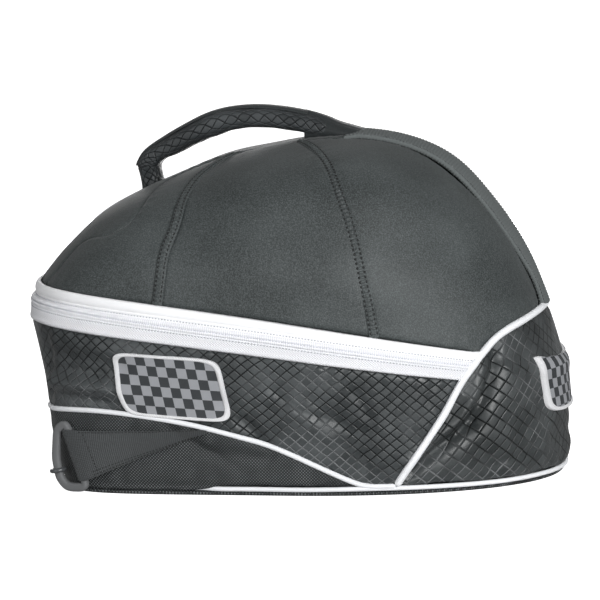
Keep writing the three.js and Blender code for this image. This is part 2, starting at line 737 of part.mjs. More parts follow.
// Base plate and the cord round it
{
  const count = BASE_COLUMNS;
  const ring = (z) =>
    Array.from({ length: count }, (_, i) => {
      const point = bodyAt((360 * i) / count, 0);
      return new THREE.Vector3(point.x, point.y, z);
    });
  addPiece("base_panel", loft([ring(0), ring(BASE_THICKNESS)]), BALLISTIC);
  const middles = [];
  const outs = [];
  for (let i = 0; i < count; i += 1) {
    const { point, out } = skinAt(toDisk({ angle: (360 * i) / count, level: 0.05 }), CORD_STAND_OFF);
    middles.push(new THREE.Vector3(point.x, point.y, BASE_THICKNESS + GAP + BASE_CORD_RADIUS));
    outs.push(new THREE.Vector3(out.x, out.y, 0).normalize());
  }
  addPiece("base_piping", cord(middles, outs, BASE_CORD_RADIUS, 6, true), WHITE, 0.6);
}

// Wall panels
{
  const side = (u, v) => {
    const column = Math.round(u * wrapColumns);
    const level = mix(lowPlaces[column].level, 1, v);
    return toDisk({ angle: columnAngle(column, level), level });
  };
  addPiece(
    "side_panel",
    sheet(side, wrapColumns, SIDE_ROWS, {
      thickness: PANEL_THICKNESS,
      inset: { left: besideRear, right: besideRear, bottom: besideLower, top: half },
    }),
    RIPSTOP,
  );

  const deep = lowPlaces.filter(({ angle, level }) => level > footLevel(angle) + LOWER_LEAST_LEVELS);
  const lower = (u, v) => {
    const { angle, level } = deep[Math.round(u * (deep.length - 1))];
    return toDisk({ angle, level: mix(footLevel(angle), level, v) });
  };
  addPiece(
    "lower_panel",
    sheet(lower, deep.length - 1, LOWER_ROWS, {
      thickness: PANEL_THICKNESS,
      inset: { left: 0, right: 0, bottom: 0, top: besideLower },
    }),
    BALLISTIC,
  );

  const near = through([...rearSidePlaces, ...rearZipPlaces.slice(1)]);
  const footAngle = fromDisk(rearSeam.at(rearFoot)).angle;
  const rear = patch(
    polar(footAngle, -footAngle, footLevel),
    through(withMirror([...rearDomePlaces, ...rearTopPlaces.slice(1)])),
    near,
    mirrored(near),
  );
  addPiece(
    "rear_panel",
    sheet(rear, 2 * DOME_ROWS + SPINE_COLUMNS, SIDE_ROWS + ZIP_LEVELS.length - 1, {
      thickness: PANEL_THICKNESS,
      inset: {
        left: besideRear + REAR_SIDE_ROOM,
        right: besideRear + REAR_SIDE_ROOM,
        bottom: 0,
        top: besideRear + REAR_TOP_ROOM,
      },
    }),
    RIPSTOP,
  );
}

// Seam cords
{
  const start = rearSeam.at(rearSeam.shareWhere((disk) => bodyAtDisk(disk).z >= wallFoot + REAR_CORD_RADIUS));
  const runs = [rearSidePlaces, rearZipPlaces, rearDomePlaces, rearTopPlaces];
  const rear = [start, ...runs.flatMap((places) => places.slice(1))];
  addPiece("rear_piping", seamCord(withMirror(rear), REAR_CORD_RADIUS, 8), WHITE, 0.6);

  const clear = wallFoot + LOWER_CORD_RADIUS + CORD_END_CLEARANCE;
  const lower = lowPlaces.map(toDisk).filter((disk) => bodyAtDisk(disk).z > clear);
  addPiece("lower_piping", seamCord(lower, LOWER_CORD_RADIUS, 6), WHITE, 0.6);
}

// Zip
{
  const band = (low, high) => (u, v) => {
    const level = mix(low, high, v);
    return toDisk({ angle: columnAngle(Math.round(u * wrapColumns), level), level });
  };
  const [foot, coilFoot, coilHead, head] = ZIP_LEVELS;
  const inset = { left: besideRear, right: besideRear, bottom: half, top: half };
  const tape = { thickness: TAPE_THICKNESS, lift: () => TAPE_LIFT, inset };
  addPiece("zip_tape_lower", sheet(band(foot, coilFoot), wrapColumns, 1, tape), WHITE, 0.7);
  addPiece("zip_tape_upper", sheet(band(coilHead, head), wrapColumns, 1, tape), WHITE, 0.7);
  const coil = {
    thickness: TAPE_THICKNESS,
    lift: (u, v) => TAPE_LIFT + COIL_HEIGHT * Math.sin(Math.PI * mix(0.15, 0.85, v)),
    inset: { ...inset, left: besideRear + GAP, right: besideRear + GAP },
  };
  addPiece("zip_coil", sheet(band(coilFoot, coilHead), wrapColumns, 2, coil), WHITE, 0.55);

  const { point, out } = skinAt(toDisk({ angle: 180, level: 1.52 }), TAPE_LIFT + COIL_HEIGHT + GAP);
  const up = new THREE.Vector3(0, 0, 1).projectOnPlane(out).normalize();
  const across = new THREE.Vector3(0, 1, 0);
  const box = (low, high, width, from, to) => {
    const corners = [
      [-width / 2, low],
      [width / 2, low],
      [width / 2, high],
      [-width / 2, high],
    ];
    const ring = (height) =>
      corners.map(([a, b]) => {
        const corner = point.clone().addScaledVector(out, height);
        return corner.addScaledVector(across, a).addScaledVector(up, b);
      });
    return loft([ring(from), ring(to)]);
  };
  const body = box(-SLIDER_WIDTH / 2, SLIDER_WIDTH / 2, SLIDER_LENGTH, 0, SLIDER_HEIGHT);
  up.set(0, 0, 1);
  const pullFoot = -SLIDER_WIDTH / 2 - PULL_LENGTH;
  const pull = box(pullFoot, 0, PULL_WIDTH, SLIDER_HEIGHT * 0.45, SLIDER_HEIGHT * 0.95);
  addPiece("zip_slider", fromManifold(asManifold(body).add(asManifold(pull))), PLASTIC, 0.4);
}

// Dome panels, near and far
{
  const joinInset = { left: half, right: half, bottom: half, top: half };
  const shape = { thickness: PAD_THICKNESS, inset: joinInset };
  const frontSide = through(frontDomeSeam.places(0, 1, DOME_ROWS, FRONT_ROW_POWER));
  const rearSide = through(rearDomeSeam.places(0, 1, DOME_ROWS));
  const head = () => 2;
  const frontFoot = polar(STRIP_START_ANGLE, frontAngle, head);
  const front = patch(frontFoot, through(neckPlaces), through(headPlaces), frontSide);
  const middle = patch(polar(frontAngle, middleAngle, head), through(ridgePlaces), frontSide, rearSide);
  const rear = patch(
    polar(middleAngle, rearAngle(2), head),
    through([...tailPlaces, ...spinePlaces.slice(1)]),
    rearSide,
    through(rearDomePlaces),
  );
  const rearShape = { thickness: PAD_THICKNESS, inset: { ...joinInset, right: besideRear } };
  const panels = [
    ["dome_front", sheet(front, FRONT_COLUMNS, DOME_ROWS, shape)],
    ["dome_middle", sheet(middle, MIDDLE_COLUMNS, DOME_ROWS, shape)],
    ["dome_rear", sheet(rear, REAR_COLUMNS, DOME_ROWS, rearShape)],
  ];
  for (const [name, geometry] of panels) {
    addPiece(`${name}_near`, geometry, SOFT, 0.9);
    addPiece(`${name}_far`, mirrorSolid(geometry), SOFT, 0.9);
  }
}

// Strip along the middle, and the ribbed spine behind the handle
{
  const nearPlaces = [...headPlaces, ...neckPlaces.slice(1), ...ridgePlaces.slice(1), ...tailPlaces.slice(1)];
  const near = through(nearPlaces);
  const neck = nearPlaces.at(-1);
  const acrossNeck = (share) => new THREE.Vector2(neck.x, mix(neck.y, -neck.y, share));
  const stripFoot = polar(STRIP_START_ANGLE, 360 - STRIP_START_ANGLE, () => 2);
  const strip = patch(stripFoot, acrossNeck, near, mirrored(near));
  addPiece(
    "front_strip",
    sheet(strip, STRIP_COLUMNS, nearPlaces.length - 1, {
      thickness: PAD_THICKNESS,
      inset: { left: half, right: half, bottom: half, top: half },
    }),
    SOFT,
    0.9,
  );
  const spineNear = through(spinePlaces);
  const spine = patch(acrossNeck, through(withMirror(rearTopPlaces)), spineNear, mirrored(spineNear));
  addPiece(
    "ribbed_spine",
    sheet(spine, SPINE_COLUMNS, spinePlaces.length - 1, {
      thickness: PAD_THICKNESS,
      lift: (u) => mix(SPINE_EDGE_RISE, SPINE_RISE, Math.sin(Math.PI * u) ** 0.6),
      inset: { left: half, right: half, bottom: half, top: besideRear },
    }),
    RIBBED,
    0.95,
  );
}

// Handle
{
  const ground = (x, y = 0) => skinAt(overPlan(x, y), 0).point.z;
  const place = (share, rise) => {
    const x = HANDLE_START + share * HANDLE_SPAN;
    return new THREE.Vector3(x, 0, ground(x) + rise * HANDLE_RISE);
  };
  const across = new THREE.Vector3(0, 1, 0);
  const sides = GRIP_SIDES;
  const squared = (value) => Math.sign(value) * Math.abs(value) ** GRIP_SQUARENESS;
  const steps = [-0.5, -0.25, 0, 0.25, 0.5];
  const stations = [];
  const fine = 2 * (GRIP.length - 1);
  const rows = GRIP.map((row, i) => ({ station: i, ...row }));
  for (let k = 0; k <= fine; k += 1) {
    const row = readRow(rows, (k / fine) * (GRIP.length - 1));
    const outer = place(row.outerX, row.outerRise);
    const inner = place(row.innerX, row.innerRise);
    const up = outer.clone().sub(inner).normalize();
    outer.addScaledVector(up, -BINDING_THICKNESS - GAP);
    stations.push({ outer, inner, up });
  }
  const grip = stations.map(({ outer, inner, up }) => {
    const middle = outer.clone().add(inner).multiplyScalar(0.5);
    const thick = outer.distanceTo(inner) / 2;
    return Array.from({ length: sides }, (_, i) => {
      const turn = (2 * Math.PI * i) / sides;
      return middle
        .clone()
        .addScaledVector(across, (GRIP_WIDTH / 2) * squared(Math.cos(turn)))
        .addScaledVector(up, thick * squared(Math.sin(turn)));
    });
  });
  addPiece("handle_grip", loft(grip), RIPSTOP);

  const topOf = (station, y) => {
    const thick = station.outer.distanceTo(station.inner) / 2;
    const share = Math.abs(y) / (GRIP_WIDTH / 2);
    return (1 - share ** (2 / GRIP_SQUARENESS)) ** (GRIP_SQUARENESS / 2) * thick - thick;
  };
  const binding = stations.slice(1).map((station, k, list) => {
    const wide = mix(0.8, 1, k / (list.length - 1)) * BINDING_WIDTH;
    const line = (height) =>
      steps.map((step) =>
        station.outer
          .clone()
          .addScaledVector(across, step * wide)
          .addScaledVector(station.up, topOf(station, step * wide) + height),
      );
    return [...line(GAP), ...line(GAP + BINDING_THICKNESS).reverse()];
  });
  addPiece("handle_binding", loft(binding), SOFT, 0.8);

  // Front foot, from the strip up to the grip's end
  const first = stations[0];
  const run = new THREE.Vector3().subVectors(stations[1].inner, first.inner).normalize();
  const under = (point) => point.clone().addScaledVector(run, -GAP);
  const middle = first.outer.clone().add(first.inner).multiplyScalar(0.5);
  const ringOf = (shrink, onStrip) =>
    Array.from({ length: sides }, (_, i) => {
      const turn = (2 * Math.PI * i) / sides;
      const wide = (GRIP_WIDTH / 2) * shrink * squared(Math.cos(turn));
      const long = squared(Math.sin(turn)) * shrink;
      if (!onStrip) {
        const thick = first.outer.distanceTo(first.inner) / 2;
        return under(middle.clone().addScaledVector(across, wide).addScaledVector(first.up, thick * long));
      }
      const x = middle.x + FOOT_SET_BACK - (long * FOOT_LENGTH) / 2;
      return skinAt(overPlan(x, wide), GAP).point;
    });
  const base = skinAt(overPlan(middle.x + FOOT_SET_BACK, 0), GAP).point;
  const footEnds = [ringOf(0.92, true), ringOf(0.97, false)];
  addPiece("handle_foot_front", loft(footEnds, { ends: { start: base } }), RIPSTOP);

  // Rear foot, a wedge that runs out along the strip
  const footRings = REAR_FOOT.map((row, k) => {
    const x = HANDLE_START + row.x * HANDLE_SPAN + (k === 0 ? GAP : 0);
    const wide = row.width * GRIP_WIDTH;
    const low = steps.map((step) => skinAt(overPlan(x, step * wide), GAP).point);
    const high = steps.map((step) => {
      const drop = 1 - 0.35 * (2 * Math.abs(step)) ** 3;
      const point = skinAt(overPlan(x, step * wide), GAP).point;
      point.z += Math.max(row.rise * HANDLE_RISE * drop - GAP, 1);
      return point;
    });
    return [...low, ...high.reverse()];
  });
  addPiece("handle_foot_rear", loft(footRings), SOFT, 0.8);
}

// Strap loop with its ring, near and far
{
  const barFoot = RING_BAR_RADIUS + RING_FLOOR_CLEARANCE;
  const strapFoot = barFoot + (RING_HEIGHT - STRAP_HEIGHT) / 2;
  const barLow = levelAtHeight(STRAP_FOOT_ANGLE, strapFoot);
  const barHigh = levelAtHeight(STRAP_HEAD_ANGLE, strapFoot + STRAP_HEIGHT);
  const rootLevel = lowerLevel(STRAP_ROOT_ANGLE);
  const region = (u, v) => {
    const angle = mix(STRAP_ROOT_ANGLE, mix(STRAP_FOOT_ANGLE, STRAP_HEAD_ANGLE, v), u);
    const straight = mix(rootLevel - STRAP_UPPER_DROP, barHigh, u);
    const upper = Math.min(straight, lowerLevel(angle) - STRAP_UPPER_DROP);
    const lower = mix(barLow, rootLevel - STRAP_ROOT_DROP, (1 - u) ** 0.9);
    return toDisk({ angle, level: mix(lower, upper, v) });
  };
  const strap = sheet(region, STRAP_COLUMNS, 2, {
    thickness: -STRAP_STAND_OFF,
    lift: () => STRAP_STAND_OFF + STRAP_THICKNESS,
    inset: { left: 0, right: 0, bottom: 0, top: 0 },
  });

  const low = skinAt(toDisk({ angle: STRAP_FOOT_ANGLE, level: barLow }), 0);
  const high = skinAt(toDisk({ angle: STRAP_HEAD_ANGLE, level: barHigh }), 0);
  const inside = RING_BAR_RADIUS + GAP;
  const outside = inside + STRAP_THICKNESS;
  const out = low.out.clone().add(high.out).normalize();
  const away = outside + 2 * GAP;
  const from = low.point.clone().addScaledVector(out, away);
  const to = high.point.clone().addScaledVector(out, away);
  const axis = to.clone().sub(from).normalize();
  const forward = new THREE.Vector3().crossVectors(axis, out).normalize();
  const sideways = new THREE.Vector3().crossVectors(forward, axis).normalize();
  const circle = (middle, radius, sides) =>
    Array.from({ length: sides }, (_, i) => {
      const turn = (2 * Math.PI * (i + 0.5)) / sides;
      const spoke = forward.clone().multiplyScalar(Math.cos(turn)).addScaledVector(sideways, Math.sin(turn));
      return middle.clone().addScaledVector(spoke, radius);
    });
  const sleeve = loft([circle(from, outside, 12), circle(to, outside, 12)]);
  const bore = loft([
    circle(from.clone().addScaledVector(axis, -outside), inside, 12),
    circle(to.clone().addScaledVector(axis, outside), inside, 12),
  ]);
  const tab = asManifold(strap).add(asManifold(sleeve)).subtract(asManifold(bore));

  const heading = forward.x < 0 ? forward : forward.clone().negate();
  const ringFoot = from.clone().addScaledVector(axis, -(from.z - barFoot) / axis.z);
  const spots = RING.map((row) => {
    const spot = ringFoot.clone().addScaledVector(heading, row.depth * RING_DEPTH);
    return spot.addScaledVector(axis, row.height * RING_HEIGHT);
  });
  const middles = [];
  spots.forEach((spot, i) => {
    const next = spots[(i + 1) % spots.length];
    const before = spots[(i + spots.length - 1) % spots.length];
    for (const other of [before, next]) {
      middles.push(spot.clone().lerp(other, Math.min(0.25, RING_CORNER / spot.distanceTo(other))));
    }
  });
  const ring = cord(middles, middles.map(() => sideways), RING_BAR_RADIUS, 6, true);

  // The small bead that runs on the ring's outer bar
  const [beadA, beadB] = BEAD_ROWS.map((row) => spots[row]);
  const beadMiddle = beadA.clone().lerp(beadB, BEAD_SHARE);
  const beadAxis = beadB.clone().sub(beadA).normalize();
  const beadSide = new THREE.Vector3().crossVectors(beadAxis, sideways).normalize();
  const beadCount = 12;
  const beadMiddles = [];
  const beadOuts = [];
  for (let i = 0; i < beadCount; i += 1) {
    const turn = (2 * Math.PI * i) / beadCount;
    const spoke = sideways.clone().multiplyScalar(Math.cos(turn)).addScaledVector(beadSide, Math.sin(turn));
    beadMiddles.push(beadMiddle.clone().addScaledVector(spoke, RING_BAR_RADIUS + 2 * GAP + BEAD_RADIUS));
    beadOuts.push(beadAxis);
  }
  const bead = cord(beadMiddles, beadOuts, BEAD_RADIUS, 6, true);
  const pieces = [
    ["strap_tab", fromManifold(tab), WEBBING, 0.85],
    ["strap_ring", ring, PLASTIC, 0.35],
    ["ring_bead", bead, PLASTIC, 0.2],
  ];
  for (const [name, geometry, colour, roughness] of pieces) {
    addPiece(`${name}_near`, geometry, colour, roughness);
    addPiece(`${name}_far`, mirrorSolid(geometry), colour, roughness);
  }
}

// Stand the bag on the floor with its middle at the origin.
{
  const box = new THREE.Box3().setFromObject(group);
  const middle = box.getCenter(new THREE.Vector3());
  for (const mesh of group.children) mesh.geometry.translate(-middle.x, -middle.y, -box.min.z);
}

export default group;
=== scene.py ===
"""Looks of a soft, domed helmet bag: padded panels, ripstop walls, white zip and cords, and a carry handle.

The bag's outside is one smooth form, read at an angle round the body and a level up it. Every piece is
drawn on that form, so that neighbours meet along the seams they share. Lengths in the tables are
millimetres or shares of named sizes, and everything built is in metres.
"""

import logging
import math
from collections.abc import Callable, Sequence
from dataclasses import dataclass, field
from enum import Enum

import bmesh
import bpy
import numpy as np
from mathutils import Matrix, Vector
from mathutils.bvhtree import BVHTree

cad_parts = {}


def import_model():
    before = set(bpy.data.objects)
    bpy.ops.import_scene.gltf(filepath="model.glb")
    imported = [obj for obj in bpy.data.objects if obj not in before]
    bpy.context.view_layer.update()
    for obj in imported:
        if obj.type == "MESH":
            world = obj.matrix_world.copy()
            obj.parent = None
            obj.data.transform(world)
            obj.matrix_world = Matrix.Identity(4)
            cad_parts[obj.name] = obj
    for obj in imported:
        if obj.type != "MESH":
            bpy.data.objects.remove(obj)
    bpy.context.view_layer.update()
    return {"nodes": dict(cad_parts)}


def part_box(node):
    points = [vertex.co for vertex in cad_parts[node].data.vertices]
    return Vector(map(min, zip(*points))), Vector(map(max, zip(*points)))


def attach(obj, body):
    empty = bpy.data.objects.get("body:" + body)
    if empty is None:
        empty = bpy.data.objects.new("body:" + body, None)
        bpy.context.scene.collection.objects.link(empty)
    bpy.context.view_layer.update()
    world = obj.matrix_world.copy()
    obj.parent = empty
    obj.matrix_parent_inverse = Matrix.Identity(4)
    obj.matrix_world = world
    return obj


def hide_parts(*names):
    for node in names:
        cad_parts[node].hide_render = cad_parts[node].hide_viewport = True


log = logging.getLogger("helmet_bag")

Array = np.ndarray
Edge = Callable[[Array], Array]
Socket = bpy.types.NodeSocket
MM = 0.001


class Side(Enum):
    """Which side of the bag a mirrored piece is on."""

    NEAR = "near"
    FAR = "far"

    @property
    def sign(self) -> float:
        """One on the near side and minus one on the far side."""
        return 1.0 if self is Side.NEAR else -1.0


def unit(vectors: Array) -> Array:
    """Vectors scaled to a length of one."""
    return vectors / np.maximum(np.linalg.norm(vectors, axis=-1, keepdims=True), 1e-12)


def mix(a: Array | float, b: Array | float, share: Array | float) -> Array:
    """Blend of a and b."""
    return a + (b - a) * share


def bell(distance: Array, width: float) -> Array:
    """Smooth hump of height one that fades over a width."""
    return np.exp(-((distance / width) ** 2))


def lengths_along(points: Array) -> Array:
    """Length of a line of points from its start to each of them."""
    return np.concatenate([[0], np.cumsum(np.linalg.norm(np.diff(points, axis=0), axis=-1))])


def beside_line(points: Array, start: Array, end: Array) -> Array:
    """Distance of points from the line between two ends."""
    run = end - start
    share = np.clip((points - start) @ run / (run @ run), 0, 1)
    return np.linalg.norm(points - start - share[:, None] * run, axis=-1)


def facing(azimuth: float, elevation: float) -> Vector:
    """Way from the middle of the bag: degrees from the near side towards the rear, and upwards."""
    a, e = math.radians(azimuth), math.radians(elevation)
    return Vector((math.sin(a) * math.cos(e), -math.cos(a) * math.cos(e), math.sin(e)))


def as_mesh(shape: bmesh.types.BMesh, name: str) -> bpy.types.Mesh:
    """Ends the making of a shape, and gives its mesh."""
    mesh = bpy.data.meshes.new(name)
    shape.to_mesh(mesh)
    shape.free()
    return mesh


@dataclass(frozen=True)
class Table:
    """Rows of numbers, read along a smooth curve by their first column."""

    rows: tuple[tuple[float, ...], ...]

    def read(self, at: Array | float) -> Array:
        """Every other column at one value, or many, of the first column."""
        rows = np.asarray(self.rows, float)
        keys, values = rows[:, 0], rows[:, 1:]
        index = np.arange(len(keys))
        low, high = np.maximum(index - 1, 0), np.minimum(index + 1, len(keys) - 1)
        slopes = (values[high] - values[low]) / (keys[high] - keys[low])[:, None]
        at = np.asarray(at, float)
        i = np.clip(np.searchsorted(keys, at, side="left") - 1, 0, len(keys) - 2)
        span = (keys[i + 1] - keys[i])[..., None]
        t = np.clip((at - keys[i])[..., None] / span, 0, 1)
        return (
            (2 * t**3 - 3 * t**2 + 1) * values[i]
            + (t**3 - 2 * t**2 + t) * span * slopes[i]
            + (3 * t**2 - 2 * t**3) * values[i + 1]
            + (t**3 - t**2) * span * slopes[i + 1]
        )


# Columns: level, front, rear and side reach, squareness of the front, taper.
SECTIONS = Table((
    (0.0, 0.844, 0.976, 0.934, 7.0, 0.098), (0.3, 0.898, 0.998, 0.969, 5.5, 0.08),
    (0.65, 0.938, 0.991, 0.993, 4.4, 0.078), (1.0, 0.998, 0.98, 1.0, 3.9, 0.073),
    (1.5, 1.0, 0.979, 0.989, 3.4, 0.07), (2.0, 0.979, 0.96, 0.963, 3.5, 0.08),
))  # fmt: skip
# Columns: level, height at the front, the middle and the rear.
HEIGHTS = Table((
    (0.0, 0, 0, 0), (0.3, 0.149, 0.113, 0.078), (0.65, 0.299, 0.246, 0.181), (1.0, 0.481, 0.394, 0.276),
    (1.5, 0.535, 0.45, 0.318), (2.0, 0.586, 0.495, 0.342),
))  # fmt: skip
# Columns: rise, what is left of the front, rear and side reach.
DOME = Table((
    (0, 1, 1, 1), (1 / 6, 0.9, 0.92, 0.975), (2 / 6, 0.776, 0.802, 0.889), (3 / 6, 0.59, 0.652, 0.774),
    (4 / 6, 0.412, 0.478, 0.57), (5 / 6, 0.18, 0.25, 0.3), (1, 0, 0, 0),
))  # fmt: skip
# Folds and creases: width and depth in millimetres, then angle and share of the crown's height along each.
# Each is met again on the far side, so one that crosses the middle has half its depth.
FOLDS = (
    (6.0, -3.2, ((31, 0.37), (38, 0.2))), (6.0, -2.9, ((38, 0.2), (48, 0.11))),
    (4.2, 1.6, ((34.5, 0.35), (43, 0.18))), (6.0, 2.6, ((147, 0.31), (130, 0.3))),
    (6.0, -2.4, ((150, 0.39), (131, 0.37))), (4.2, -1.6, ((148, 0.25), (131, 0.25))),
    (6.0, -1.9, ((106, 0.27), (96, 0.17))), (4.8, -1.8, ((112, 0.13), (94, 0.11))),
    (7.2, -0.95, ((14, 0.12), (-14, 0.12))), (7.0, 1.4, ((27, 0.3), (30, 0.16))),
    (3.8, -1.8, ((149, 0.44), (151.5, 0.2))), (4.5, 1.2, ((145.5, 0.42), (147.5, 0.22))),
    (4.5, 0.9, ((140, 0.42), (122, 0.4))), (4.2, -1.5, ((101, 0.22), (92, 0.13))),
    (5.5, 1.4, ((86, 0.25), (76, 0.17))), (5.0, -1.2, ((80, 0.28), (70, 0.2))),
    (3.2, -4.4, ((30.5, 0.42), (33.5, 0.335), (35.5, 0.27), (38.5, 0.2), (46, 0.135), (53, 0.06))),
    (3.8, 2.8, ((36, 0.39), (38.5, 0.29), (42, 0.215), (49, 0.15), (54, 0.1))),
    (3.4, -1.8, ((20, 0.24), (17, 0.17), (22, 0.1), (33, 0.07))),
    (3.2, -2.2, ((150, 0.35), (141, 0.352), (135, 0.345))),
    (3.6, 2.0, ((150, 0.315), (140, 0.31), (134, 0.305))),
    (3.2, -2.4, ((150, 0.278), (140, 0.272), (134, 0.265))),
    (3.4, -1.7, ((121, 0.2), (112, 0.13), (104, 0.09))),
    (3.2, -1.4, ((68, 0.3), (64, 0.22), (66, 0.12))), (3.0, -1.2, ((92, 0.31), (84, 0.25), (72, 0.21))),
)  # fmt: skip
# Columns: angle and level.
REAR_SEAM = (
    (57.8, 0), (57, 0.06), (53, 0.325), (48, 0.588), (45, 0.75), (41.5, 1.0), (38, 1.5), (34.5, 2.0),
    (29.5, 2.061), (22, 2.098), (13, 2.125), (0, 2.135),
)  # fmt: skip
# Columns: angle measured from the front, and level.
LOWER_SEAM = Table((
    (0, 0.47), (14, 0.475), (27, 0.49), (44, 0.55), (56.5, 0.54), (70, 0.488), (90, 0.363),
    (102, 0.238), (114.5, 0.088), (120, 0.03),
))  # fmt: skip
FRONT_DOME_SEAM = ((124, 2.0), (126, 2.117), (128.5, 2.217), (131, 2.316), (138.5, 2.453), (145.5, 2.54))
REAR_DOME_SEAM = ((62.5, 2.0), (66, 2.105), (69, 2.186), (74.5, 2.341), (82, 2.497), (94.5, 2.677))
# Columns: x as a share of the half length, near edge as a share of the half width.
STRIP_EDGE = (
    (-0.848, 0.668), (-0.779, 0.627), (-0.735, 0.651), (-0.675, 0.707), (-0.636, 0.725), (-0.581, 0.714),
    (-0.549, 0.643), (-0.525, 0.498), (-0.495, 0.295), (-0.41, 0.2), (-0.25, 0.185), (-0.05, 0.185),
    (0.158, 0.192),
)  # fmt: skip
SPINE_EDGE = (
    (0.158, 0.192), (0.3, 0.192), (0.45, 0.2), (0.6, 0.215), (0.72, 0.21), (0.8, 0.175), (0.868, 0.13),
)  # fmt: skip
# Columns: station, outer x and rise, inner x and rise, as shares of the handle's span and rise.
GRIP = Table((
    (0, 0.0, 0.5, 0.14, 0.32), (1, 0.012, 0.67, 0.15, 0.38), (2, 0.065, 0.84, 0.175, 0.42),
    (3, 0.2, 0.94, 0.24, 0.42), (4, 0.32, 0.98, 0.36, 0.43), (5, 0.45, 1.0, 0.48, 0.455),
    (6, 0.6, 0.955, 0.61, 0.455), (7, 0.745, 0.865, 0.745, 0.385), (8, 0.88, 0.735, 0.88, 0.255),
    (9, 1.0, 0.59, 1.0, 0.115), (10, 1.1, 0.43, 1.1, -0.02), (11, 1.2, 0.22, 1.2, -0.12),
))  # fmt: skip
# Columns: x as a share of the span, rise as a share of the rise, width as a share of the grip's width.
REAR_FOOT = Table((
    (0.93, 0.69, 0.66), (1.0, 0.605, 0.74), (1.08, 0.49, 0.9), (1.16, 0.36, 1.12), (1.22, 0.25, 1.32),
    (1.3, 0.16, 1.5), (1.38, 0.08, 1.6), (1.44, -0.02, 1.64),
))  # fmt: skip
# Columns: depth and height of the ring's middle line, as shares of its depth and height.
RING = (
    (0.0, 0.06), (0.0, 0.95), (0.1, 1.0), (0.46, 0.95), (0.89, 0.57), (1.0, 0.27), (0.84, 0.13),
    (0.62, 0.08), (0.15, 0.03),
)  # fmt: skip


